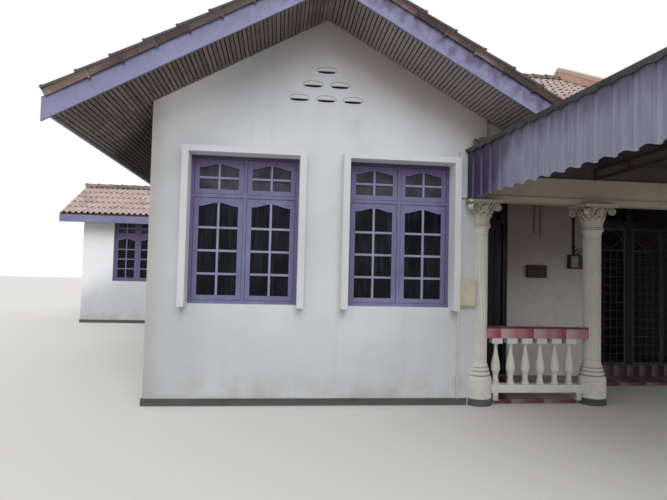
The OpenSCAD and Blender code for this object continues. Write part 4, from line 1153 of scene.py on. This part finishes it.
WING_TOP = SOFFIT_PEAK + (SLAT_BOARD + RAFTER + TILE_LAYER) / WING_COS
ANNEX_RIDGE_Y = (ANNEX_FRONT + REAR_FACE) / 2
ANNEX_RIDGE_Z = RIDGE_Z - MAIN_TAN * (ANNEX_RIDGE_Y - RIDGE_Y)
peak = (0, (WING_TOP - MAIN_Z0) / MAIN_TAN, WING_TOP)
hip = ((RIDGE_Z - WING_TOP) / WING_TAN, RIDGE_Y, RIDGE_Z)
annex = (-(WING_TOP - ANNEX_RIDGE_Z) / WING_TAN, ANNEX_RIDGE_Y, ANNEX_RIDGE_Z)
caps_low, caps_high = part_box("ridge_caps")
join("ridge_cap_tiles", [
    cap_run((0, caps_low.y, WING_TOP), peak, 31),
    cap_run(peak, hip, 32),
    cap_run(annex, hip, 33),
    cap_run(hip, (caps_high.x, RIDGE_Y, RIDGE_Z), 34),
    cap_run((caps_low.x, ANNEX_RIDGE_Y, ANNEX_RIDGE_Z), annex, 35),
], "cap_tile", "ridge_caps")

# %% [markdown]
# ## Verge tiles
# Verge tiles are bent over the gable's edge: a rounded cover on top, which laps
# over the next one, and a flat flank that hides the board's upper edge. A flank
# bends outwards at its upper end and has a small nib below it, which is what
# gives the gable's outline its steps. A short toe fills the first one's start.

# %% Verge tiles
VERGE_GAUGE, VERGE_LAP = 0.372, 0.05
VERGE_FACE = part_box("verge_tiles")[0].y
BARGE_PAST = 0.095
COVER_STEP = 0.018
FLANK_START, FLANK_LOW, NIB_LOW = 0.085, -0.070, -0.090
COVER_OUTER = ((0.0, -0.014), (0.0, -0.004), (0.005, 0.010), (0.016, 0.021), (0.034, 0.026),
               (0.056, 0.022), (0.076, 0.012))
COVER_INNER = ((0.076, 0.0), (0.056, 0.010), (0.034, 0.014), (0.022, 0.011), (0.016, 0.003),
               (0.013, -0.006), (0.013, -0.014))


def strip(name, x0, x1, z_high, z_low, ends):
    """A flat prism along Y."""
    return loft(name, [[(x0, y, z_high), (x0, y, z_low), (x1, y, z_low), (x1, y, z_high)] for y in ends])


def verge_mesh():
    """A verge tile along Y, lower end at Y = 0; X points into the roof."""
    def cover(y, lift, grow):
        return [(x - grow, y, z + lift + (grow if z > 0 else 0)) for x, z in COVER_OUTER] + \
               [(x, y, z + lift) for x, z in COVER_INNER]

    def flank(y, face, foot):
        return [(face, y, -0.001), (face, y, foot), (face + 0.010, y, foot), (face + 0.010, y, -0.001)]
    top = loft("cover", [cover(0.0, COVER_STEP, 0.005), cover(0.024, COVER_STEP, 0.005),
                         cover(0.026, COVER_STEP, 0.0), cover(VERGE_GAUGE + VERGE_LAP, -0.001, 0.0)])
    end = FLANK_START + VERGE_GAUGE - 0.004
    side = loft("flank", [flank(FLANK_START, 0.008, FLANK_LOW), flank(end - 0.03, 0.001, -0.072),
                          flank(end - 0.022, -0.004, -0.074), flank(end, -0.004, -0.074)])
    nib = strip("nib", -0.003, 0.016, FLANK_LOW, NIB_LOW, (end - 0.020, end))
    return merged("verge", [top, side, nib])


def verge_row(side, reach):
    end = reach + BARGE_PAST
    length = end / WING_COS
    count = math.ceil(length / VERGE_GAUGE)
    row = repeat(verge_mesh(), verge_clay, rows=count, row_pitch=length / count, wobble=0.0015,
                 tilt=0.004, seed=40 + side)
    toe = repeat(strip("toe", 0.006, 0.018, -0.001, FLANK_LOW, (0.004, FLANK_START)), verge_clay,
                 seed=46 + side)
    foot = (end, VERGE_FACE + 0.006, WING_TOP - WING_TAN * end)
    lay = mirrored(side, axes_at(foot, (0, 1, 0), (-WING_COS, 0, WING_SIN)))
    return [placed(row, lay), placed(toe, lay)]


join("verge_tile_rows", verge_row(-1, -EAVE_LEFT) + verge_row(1, EAVE_RIGHT), "cap_tile", "verge_tiles")

# %% [markdown]
# ## Eave boards
# Planed boards close the eaves. Their lower edges stop just below the slats, and
# the left one carries a narrow pale drip strip, which is all that the camera
# sees of it. A board is a plain prism with its edges eased, because no planed
# edge is perfectly sharp.

# %% Boards and strips
BOARD_T, BOARD_BELOW, STRIP_H = 0.025, 0.006, 0.014
ANNEX_EAVE_Y = 7.95
HAIR = 0.0003


def board(name, low, high, finish, ease=0.003):
    """A board between two corners, with the four edges along its length eased."""
    (x0, y0, z0), (x1, y1, z1) = low, high
    if y1 - y0 > x1 - x0:
        outlines = [[(a, y, z) for a, z in eased(x0, x1, z0, z1, ease)] for y in (y0, y1)]
    else:
        outlines = [[(x, a, z) for a, z in eased(y0, y1, z0, z1, ease)] for x in (x0, x1)]
    return coated(loft(name, outlines), finish)


boards_low, boards_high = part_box("eave_boards")
slats_right = SOFFIT_PEAK - WING_TAN * EAVE_RIGHT
left_top, right_top, rear_top = (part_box(node)[0].z - HAIR
                                 for node in ("wing_roof_left", "wing_roof_right", "rear_roof"))
strip_pale = dull_coat("strip_pale", (150, 146, 140), (176, 172, 166), (96, 88, 80), 0.6)
join("eave_planks", [
    board("left", (EAVE_LEFT - BOARD_T, VERGE_Y, SLATS_LOW - BOARD_BELOW), (EAVE_LEFT, ANNEX_Y, left_top),
          board_lilac),
    board("right", (EAVE_RIGHT, VERGE_Y, slats_right - BOARD_BELOW), (EAVE_RIGHT + BOARD_T, 0, right_top),
          board_lilac),
    board("rear", (boards_low.x, boards_high.y - BOARD_T, boards_low.z),
          (boards_high.x, boards_high.y, rear_top), board_lilac),
    board("annex", (boards_low.x, ANNEX_EAVE_Y, boards_low.z),
          (EAVE_LEFT - BOARD_T - 0.001, ANNEX_EAVE_Y + BOARD_T, rear_top), board_lilac),
    board("drip", (EAVE_LEFT - BOARD_T, VERGE_Y, SLATS_LOW - BOARD_BELOW - STRIP_H),
          (EAVE_LEFT - 0.004, ANNEX_Y, SLATS_LOW - 0.0065), strip_pale),
], "board_paint", "eave_boards")

# %% [markdown]
# ## Vents in the gable
# Six half-moon hoods of plaster shade slots in the wall. Each hood is a quarter
# of an egg shape, and a small sill below it rounds the slot's lower corners, so
# that the dark opening looks like a smile. A thin rim marks where dirt has
# settled round the hood. Each is shaped once, and the rows tree sets out a row.

# %% Vents
VENT_W, VENT_PITCH, VENT_STEP, VENT_Z, VENT_SLOT = 0.238, 0.306, 0.165, 3.400, 0.026
HOOD_RISE, HOOD_OUT, RIM_R = 0.050, 0.024, 0.0028
SILL_FACE, SILL_BACK, SILL_H = -0.004, 0.03, 0.012


def hood_mesh(across=14, around=6):
    """A quarter egg on the wall, its straight edge along X at Z = 0."""
    outlines = []
    for i in range(across + 1):
        u = math.sin(math.pi * (i / across - 0.5)) * 0.997
        r = math.sqrt(1 - u * u)
        skin = [(u * VENT_W / 2, -HOOD_OUT * r * math.cos(math.pi / 2 * k / around),
                 HOOD_RISE * r * math.sin(math.pi / 2 * k / around)) for k in range(around + 1)]
        outlines.append(skin + [(x, 0.002, z) for x, y, z in reversed(skin)])
    return loft("hood", outlines)


def sill_mesh(across=14):
    """The plaster that rounds the slot's lower edge, with its face just proud of the wall."""
    outlines = []
    for i in range(across + 1):
        u = math.sin(math.pi * (i / across - 0.5)) * 0.995
        x = u * VENT_W * 0.4
        top = VENT_SLOT * (1 - math.sqrt(1 - (0.8 * u) ** 2)) - VENT_SLOT + 0.001
        foot = -VENT_SLOT - SILL_H * (1 - u * u) - 0.001
        outlines.append([(x, SILL_FACE, foot), (x, SILL_FACE, top),
                         (x, SILL_BACK, top), (x, SILL_BACK, foot)])
    return loft("sill", outlines)


def rim_mesh(steps=16):
    """The thin dirt-filled fillet where the hood meets the wall."""
    return tube("rim", [(VENT_W / 2 * math.cos(a), -0.001, (HOOD_RISE + 0.002) * math.sin(a))
                        for a in arc(steps)], RIM_R, 6)


rim_stain = dull_coat("rim_stain", (112, 104, 98), (134, 126, 120), (92, 84, 78), 0.4, 0.85)
vents = []
for row, count in enumerate((3, 2, 1)):
    for shape, finish in ((hood_mesh(), wall_white), (sill_mesh(), wall_white), (rim_mesh(), rim_stain)):
        vents.append(shifted(repeat(shape, finish, count, VENT_PITCH), -(count - 1) * VENT_PITCH / 2, 0,
                             VENT_Z + row * VENT_STEP + VENT_SLOT))
join("vent_shells", vents, "wall_paint", "vent_hoods")

# %% [markdown]
# ## Corrugated sides of the carport
# The skirt is rolled sheet: flat ribs, pans between them, and a lower edge cut
# in shallow scallops. The profile follows one rule along the whole length, so
# the sheet is lofted station by station. The flashing's bent lip repeats the
# same rule, only thinner and with no ribs.

# %% Sheets
CARPORT_X, CARPORT_L, REAR_GAP = 1.680, 4.800, 0.31
SHEET_LOW, SHEET_HIGH, SHEET_T = 2.350, 2.910, 0.0035
RIB_H, SCALLOP = 0.020, 0.024
LIP_OUT, LIP_LOW, LIP_HIGH, LIP_T, LIP_SCALLOP = 0.0385, 2.884, 2.914, 0.0012, 0.014
CORNER = 0.028
RIB_SHAPE = ((0.0, 1.0), (0.15, 1.0), (0.30, 1.0), (0.45, 1.0), (0.58, 1.0), (0.62, 0.9), (0.69, 0.1),
             (0.72, 0.0), (0.80, 0.0), (0.88, 0.0), (0.90, 0.1), (0.97, 0.9))


def ribbed(start, along, outward, length, ribs, low, high, thick, scallop):
    """A sheet that stands on a plan line, ribbed outwards, its lower edge cut in scallops."""
    outlines = []
    for k in range(int(length / SHEET_PITCH) + 1):
        for phase, out in RIB_SHAPE:
            s = (k + phase) * SHEET_PITCH
            if s > length:
                break
            face = start + along * s + outward * (out * ribs)
            back = face - outward * thick
            foot = low + scallop * (0.5 + 0.5 * math.cos(2 * math.pi * (phase - 0.3)))
            outlines.append([(face.x, face.y, foot), (face.x, face.y, high),
                             (back.x, back.y, high), (back.x, back.y, foot)])
    return loft("sheet", outlines)


def carport_runs():
    """Start, direction, outward direction and length of the left, right and far side."""
    near, far = -SHEET_START, -CARPORT_L
    lean, cos, sin = math.tan(SHEET_SKEW), math.cos(SHEET_SKEW), math.sin(SHEET_SKEW)
    far_x = CARPORT_X - far * lean
    return ((Vector((CARPORT_X - near * lean, near)), Vector((sin, -cos)), Vector((-cos, -sin)),
             (near - far) / cos),
            (Vector((PARTY_X, far)), Vector((0, 1)), Vector((1, 0)), CARPORT_L - REAR_GAP),
            (Vector((far_x + 2 * CORNER, far)), Vector((1, 0)), Vector((0, -1)),
             PARTY_X - far_x - 3 * CORNER))


sheets = []
lips = []
for start, along, outward, length in carport_runs():
    sheets.append(coated(ribbed(start, along, outward, length, RIB_H, SHEET_LOW, SHEET_HIGH, SHEET_T,
                                SCALLOP), lilac_sheet))
    lips.append(coated(ribbed(start + outward * LIP_OUT, along, outward, length, 0.0, LIP_LOW, LIP_HIGH,
                              LIP_T, LIP_SCALLOP), grey_sheet))
join("carport_sheets", sheets, "sheet_lilac", "carport_sides")
join("flashing_lips", lips, "sheet_grey")

# %% [markdown]
# ## The entrance grille
# Three steel leaves close the entrance: a flat frame, a square mesh of thin bars,
# and a band of crossing arches at the top. Straight bars come from the rows
# tree; an arch is a tube swept along a few points of a quarter circle.

# %% Grille
LEAF_START, LEAF_PITCH, POST_GAP = 4.239, 0.475, 0.100
GRILLE_X = [LEAF_START + k * LEAF_PITCH + (POST_GAP if k else 0) for k in range(3)]
GRILLE_W, GRILLE_LOW, GRILLE_HIGH, GRILLE_Y = 0.469, 0.204, 2.240, 1.500
MESH_COLUMNS, MESH_ROWS, ARCH_H = 3, 12, 0.30
FLAT, FLAT_T, FLAT_EASE = 0.030, 0.012, 0.002
UPRIGHT_R, LEVEL_R, ARCH_R = 0.006, 0.005, 0.007
grille_dark = dull_coat("grille_steel", (56, 54, 60), (68, 66, 72), (78, 60, 52), 0.3)


def grille_leaf(x):
    left, right, middle = x + FLAT, x + GRILLE_W - FLAT, x + GRILLE_W / 2
    inner = GRILLE_W - 2 * FLAT
    arch_low = GRILLE_HIGH - FLAT - ARCH_H
    parts = []
    for x0, z0, x1, z1 in ((x, GRILLE_LOW, left, GRILLE_HIGH),
                           (right, GRILLE_LOW, x + GRILLE_W, GRILLE_HIGH),
                           (left, GRILLE_LOW, right, GRILLE_LOW + FLAT),
                           (left, GRILLE_HIGH - FLAT, right, GRILLE_HIGH),
                           (left, arch_low - FLAT / 2, right, arch_low)):
        parts.append(coated(loft("flat", [[(a, GRILLE_Y + d, b) for b, a in eased(z0, z1, x0, x1, FLAT_EASE)]
                                          for d in (-FLAT_T, FLAT_T)]), grille_dark))
    low, high = GRILLE_LOW + FLAT, arch_low - FLAT / 2
    step = inner / (MESH_COLUMNS + 1)
    upright = tube("upright", [(0, 0, 0), (0, 0, high - low)], UPRIGHT_R)
    parts.append(shifted(repeat(upright, grille_dark, MESH_COLUMNS, step), left + step, GRILLE_Y, low))
    rise = (high - low) / (MESH_ROWS + 1)
    level = tube("level", [(0, 0, 0), (inner, 0, 0)], LEVEL_R)
    parts.append(placed(repeat(level, grille_dark, rows=MESH_ROWS, row_pitch=rise),
                        Matrix.Translation((left, GRILLE_Y - 0.003, low + rise))
                        @ Matrix.Rotation(math.pi / 2, 4, "X")))
    paths = [[(middle + turn * inner * (0.5 - math.sin(a)), GRILLE_Y + turn * 0.004,
               arch_low + ARCH_H * (1 - math.cos(a))) for a in arc(9, math.pi / 2)] for turn in (1, -1)]
    paths.append([(middle - inner / 2 * math.cos(a), GRILLE_Y, arch_low + ARCH_H * 0.96 * math.sin(a))
                  for a in arc(14)])
    return parts + [coated(tube("arch", path, ARCH_R), grille_dark) for path in paths]


join("grille_leaves", [part for x in GRILLE_X for part in grille_leaf(x)], "grille_steel",
     "entrance_grilles")

# %% [markdown]
# ## Pipes on the walls
# The pipes are plain tubes under flat saddles. A saddle is a case: sharp where it
# meets the wall, eased round its face. The meter and the switches, which come
# next, are cases too, so one helper shapes them all.

# %% Pipes
cover_low, cover_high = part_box("meter_cover")
meter_low, meter_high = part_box("meter_box")
panel_low, panel_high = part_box("switch_panel")
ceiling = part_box("wall_conduits")[1].z
back = meter_high.y
riser_x = meter_low.x + 0.4 * (meter_high.x - meter_low.x)
panel_w = panel_high.x - panel_low.x
conduit_white = dull_coat("conduit_white", (184, 182, 176), (196, 194, 188), (150, 144, 134), 0.3)
conduit_grey = dull_coat("conduit_grey", (120, 116, 108), (134, 130, 120), (96, 92, 84), 0.3)
cable_black = dull_coat("cable_black", (34, 33, 33), (44, 43, 42), (60, 52, 46), 0.2)


def case(low, high, finish, ease=0.006):
    """A case on a wall: sharp at the back, eased round its face."""
    (x0, y0, z0), (x1, y1, z1) = low, high

    def ring(y, inset):
        return [(x0 + inset, y, z0 + inset), (x1 - inset, y, z0 + inset),
                (x1 - inset, y, z1 - inset), (x0 + inset, y, z1 - inset)]
    rings = [ring(y1, 0), ring(y0 + ease, 0), ring(y0 + ease * 0.3, ease * 0.35), ring(y0, ease)]
    return coated(loft("case", rings), finish)


def pipe(x, wall, low, high, radius, finish, saddles):
    """A pipe close to a wall, and its saddles."""
    reach = radius + 0.006
    run = tube("pipe", [(x, wall - radius, low), (x, wall - radius, high)], radius, 12)
    return [coated(run, finish)] + [
        case((x - reach, wall - 2 * radius - 0.001, z), (x + reach, wall, z + 0.018), finish, 0.003)
        for z in saddles]


join("conduit_pipes",
     pipe(cover_low.x + 0.020, 0, 0.078, cover_low.z, 0.010, conduit_white, (0.29, 0.90))
     + pipe(panel_low.x + 0.75 * panel_w, back, 2.070, ceiling, 0.011, conduit_grey, (2.16, 2.50))
     + pipe(panel_low.x + 0.43 * panel_w, back, 2.120, ceiling, 0.011, conduit_grey, (2.20, 2.50))
     + pipe(riser_x, back, meter_high.z, ceiling, 0.016, cable_black, (1.92, 2.34)),
     "conduit_plastic", "wall_conduits")

# %% [markdown]
# ## The meter and the switches
# The meter is a dark case with a pale pane that stands a little proud of its
# face, and two loops of stiff wire on top. The switches' case is dark below and
# dull red above. The beige cover on the front wall has a raised middle.

# %% Meter, switches and cover
box_dark = dull_coat("box_dark", (52, 52, 54), (66, 64, 62), (88, 62, 54), 0.5)
box_beige = dull_coat("box_beige", (182, 174, 150), (190, 184, 162), (150, 138, 116), 0.3)
meter_pane = dull_coat("meter_pane", (118, 126, 118), (134, 142, 132), (96, 100, 92), 0.3, 0.3)
panel_red = dull_coat("panel_red", (70, 44, 46), (84, 56, 56), (52, 36, 36), 0.4)


def wire_loop(lean, size):
    return coated(tube("wire", [
        (riser_x + 0.02 + size * (0.9 * math.sin(a) + lean * 0.8 * (1 - math.cos(a))), back - 0.03,
         meter_high.z - 0.004 + size * (1 - math.cos(a))) for a in arc(24, 2 * math.pi)], 0.004, 6),
        cable_black)


join("meter_case", [
    case(meter_low, meter_high, box_dark, 0.008),
    case(Vector((meter_low.x + 0.024, meter_low.y - 0.004, meter_low.z + 0.022)),
         Vector((meter_low.x + 0.13, meter_low.y + 0.004, meter_high.z - 0.022)), meter_pane, 0.004),
    wire_loop(0.5, 0.042), wire_loop(1.0, 0.055),
], "box_dark", "meter_box")

lid = (panel_high.z - panel_low.z) * 0.28
join("switch_case", [
    case(panel_low, panel_high - Vector((0, 0, lid)), box_dark),
    case((panel_low.x, panel_low.y, panel_high.z - lid), panel_high, panel_red, 0.010),
], "box_dark", "switch_panel")

join("meter_lid", [
    case(cover_low + Vector((0, 0.006, 0)), cover_high, box_beige, 0.008),
    case(cover_low + Vector((0.012, 0, 0.014)),
         Vector((cover_high.x - 0.012, cover_low.y + 0.008, cover_high.z - 0.014)), box_beige, 0.004),
], "box_beige", "meter_cover")

# %% [markdown]
# ## The rail's edge tiles
# A row of narrow deep red tiles noses the rail's front edge. Each stands a few
# millimetres proud of the rail, with a hair's joint to the next, so that the
# edge catches light as single tiles and not as one strip.

# %% Rail nosing
NOSING_W, NOSING_JOINT = 0.1, 0.0008
rail_low, rail_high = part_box("balustrade_rail")
edge_red = dull_coat("edge_red", (92, 42, 50), (112, 54, 62), (64, 36, 38), 0.3, 0.35)
count = int((rail_high.x - rail_low.x) / NOSING_W)
step = (rail_high.x - rail_low.x) / count
nosing = case((NOSING_JOINT, rail_low.y - 0.005, rail_high.z - 0.019),
              (step - NOSING_JOINT, rail_low.y + 0.02, rail_high.z + 0.003), edge_red, 0.004)
join("rail_nosing", [shifted(repeat(nosing, edge_red, count, step), rail_low.x, 0, 0)], "rail_tile")

# %% [markdown]
# ## Where the windows are
# All six windows have one size. What is added to them is shaped for a window
# whose Y goes into the wall, and then laid into each one in turn: two in the
# gable, one in the annex's front, one in the wing's side and two in the rear.

# %% Windows' places
JAMB, MULLION, STILE = 0.036, 0.018, 0.055
SASH_HALF = (WINDOW_W / 2 - JAMB - MULLION) / 2
SASH_X = MULLION + SASH_HALF
SASH_FACE = 0.078
ANNEX_W, MAIN_W = 3.7, 3.95


def window_at(x, y, turn=0):
    """The place of a window whose Y goes into the wall."""
    return Matrix.Translation((x, y, 0)) @ Matrix.Rotation(math.radians(turn), 4, "Z")


places = [window_at(-WINDOW_X, 0), window_at(WINDOW_X, 0),
          window_at(WALL_LEFT - ANNEX_W * 0.63, ANNEX_FRONT),
          window_at(WALL_LEFT, ANNEX_FRONT * 0.55, -90),
          window_at(WALL_LEFT - ANNEX_W / 2, REAR_FACE, 180),
          window_at(PARTY_X - MAIN_W / 2, REAR_FACE, 180)]
print("windows:", len(places))

# %% [markdown]
# ## Window bars and joint shadows
# Each sash is divided by one upright and level bars that run across it, about
# 26 mm wide and paler than the sash. Round each sash runs a thin dark strip, a
# painted shadow of the gap between sash and frame, which draws its outline.

# %% Bars and joint shadows
BAR_W, BAR_D, BAR_EASE = 0.026, 0.030, 0.004
CASEMENT_BARS = (1.429, 1.686, 1.943)
TOP_LIGHT_BAR = 2.502
PANES = ((1.192, 2.226), (2.373, 2.658))
SASHES = ((1.136, 2.2815), (2.3175, 2.714))
JOINT, JOINT_FACE, JOINT_BASE = 0.0045, SASH_FACE - 0.0015, SASH_FACE + 0.002
bar_violet = gloss_paint("bar_violet", (120, 120, 148), (138, 140, 166), (162, 164, 184), (122, 112, 146))
joint_shade = dull_coat("joint_shade", (36, 30, 44), (50, 42, 60), (70, 64, 84), 0.4)


def bar(length, upright=False):
    """A bar with eased edges along X, or along Z, its outer face at Y = 0."""
    h = BAR_W / 2
    section = [(-h, BAR_D), (-h, BAR_EASE), (-h + BAR_EASE, 0), (h - BAR_EASE, 0), (h, BAR_EASE), (h, BAR_D)]
    return coated(loft("bar", [[(a, y, s) if upright else (s, y, a) for a, y in section]
                               for s in (-length / 2, length / 2)]), bar_violet)


def window_bars(lay):
    parts = []
    for x in (-SASH_X, SASH_X):
        level = bar(2 * (SASH_HALF - STILE))
        parts += [placed(level, lay @ Matrix.Translation((x, SASH_FACE, z)))
                  for z in (*CASEMENT_BARS, TOP_LIGHT_BAR)]
        for low, high in PANES:
            middle = Matrix.Translation((x, SASH_FACE - 0.001, (low + high) / 2))
            parts.append(placed(bar(high - low, True), lay @ middle))
    return parts


# Dark strips round each sash: a painted shadow of the gap between sash and frame.
def sash_joint_shadows(lay):
    parts = []
    for side in (-1, 1):
        x0, x1 = sorted((side * MULLION, side * (WINDOW_W / 2 - JAMB)))
        for z0, z1 in SASHES:
            for a0, b0, a1, b1 in ((x0, z0, x0 + JOINT, z1), (x1 - JOINT, z0, x1, z1),
                                   (x0 + JOINT, z0, x1 - JOINT, z0 + JOINT),
                                   (x0 + JOINT, z1 - JOINT, x1 - JOINT, z1)):
                parts.append(loft("joint", [[(a0, y, b0), (a1, y, b0), (a1, y, b1), (a0, y, b1)]
                                            for y in (JOINT_FACE, JOINT_BASE)]))
    return placed(coated(merged("joints", parts), joint_shade), lay)


join("window_joint_shadows", [sash_joint_shadows(place) for place in places], "joinery_paint")
join("window_bars", [part for place in places for part in window_bars(place)], "joinery_paint")

# %% [markdown]
# ## Stage and light
# The day was overcast: light comes from the whole sky, with only a hint of a
# direction. An even pale world does most of the work and one wide, weak sun
# gives the reveals their soft edge. The floor is pale to the camera but darker
# to the light that bounces, as the real ground in front of the house was.

# %% Stage
FLOOR_SIZE = 60.0
SKY = 0.95
SUN, SUN_WIDTH, SUN_FROM = 1.6, math.radians(40), (0.06, -1.0, 0.75)


def stage():
    mesh = bpy.data.meshes.new("floor")
    s = FLOOR_SIZE
    mesh.from_pydata([(-s, -s, 0), (s, -s, 0), (s, s, 0), (-s, s, 0)], [], [(0, 1, 2, 3)])
    floor = bpy.data.objects.new("floor", mesh)
    scene.collection.objects.link(floor)
    look = Look("floor", Roughness=0.9)
    look.start(look.add("ShaderNodeLightPath", out="Is Camera Ray"), (182, 180, 176), (205, 204, 202))
    coated(mesh, look.finish())
    world = bpy.data.worlds.new("sky")
    scene.world = world
    world.use_nodes = True
    sky = Net(world.node_tree)
    seen = sky.add("ShaderNodeLightPath", out="Is Camera Ray")
    light = world.node_tree.nodes["Background"]
    sky.put(light.inputs["Color"], (1.0, 1.0, 1.0, 1.0))
    sky.put(light.inputs["Strength"], seen * (1.0 - SKY) + SKY)
    lamp = bpy.data.lights.new("sun", "SUN")
    lamp.energy = SUN
    lamp.angle = SUN_WIDTH
    sun = bpy.data.objects.new("sun", lamp)
    aim = Vector(SUN_FROM).normalized()
    sun.matrix_world = Matrix.Translation((0, 0, 9)) @ aim.to_track_quat("Z", "Y").to_matrix().to_4x4()
    scene.collection.objects.link(sun)


stage()
scene.view_settings.view_transform = "Standard"
print("stage and light set")
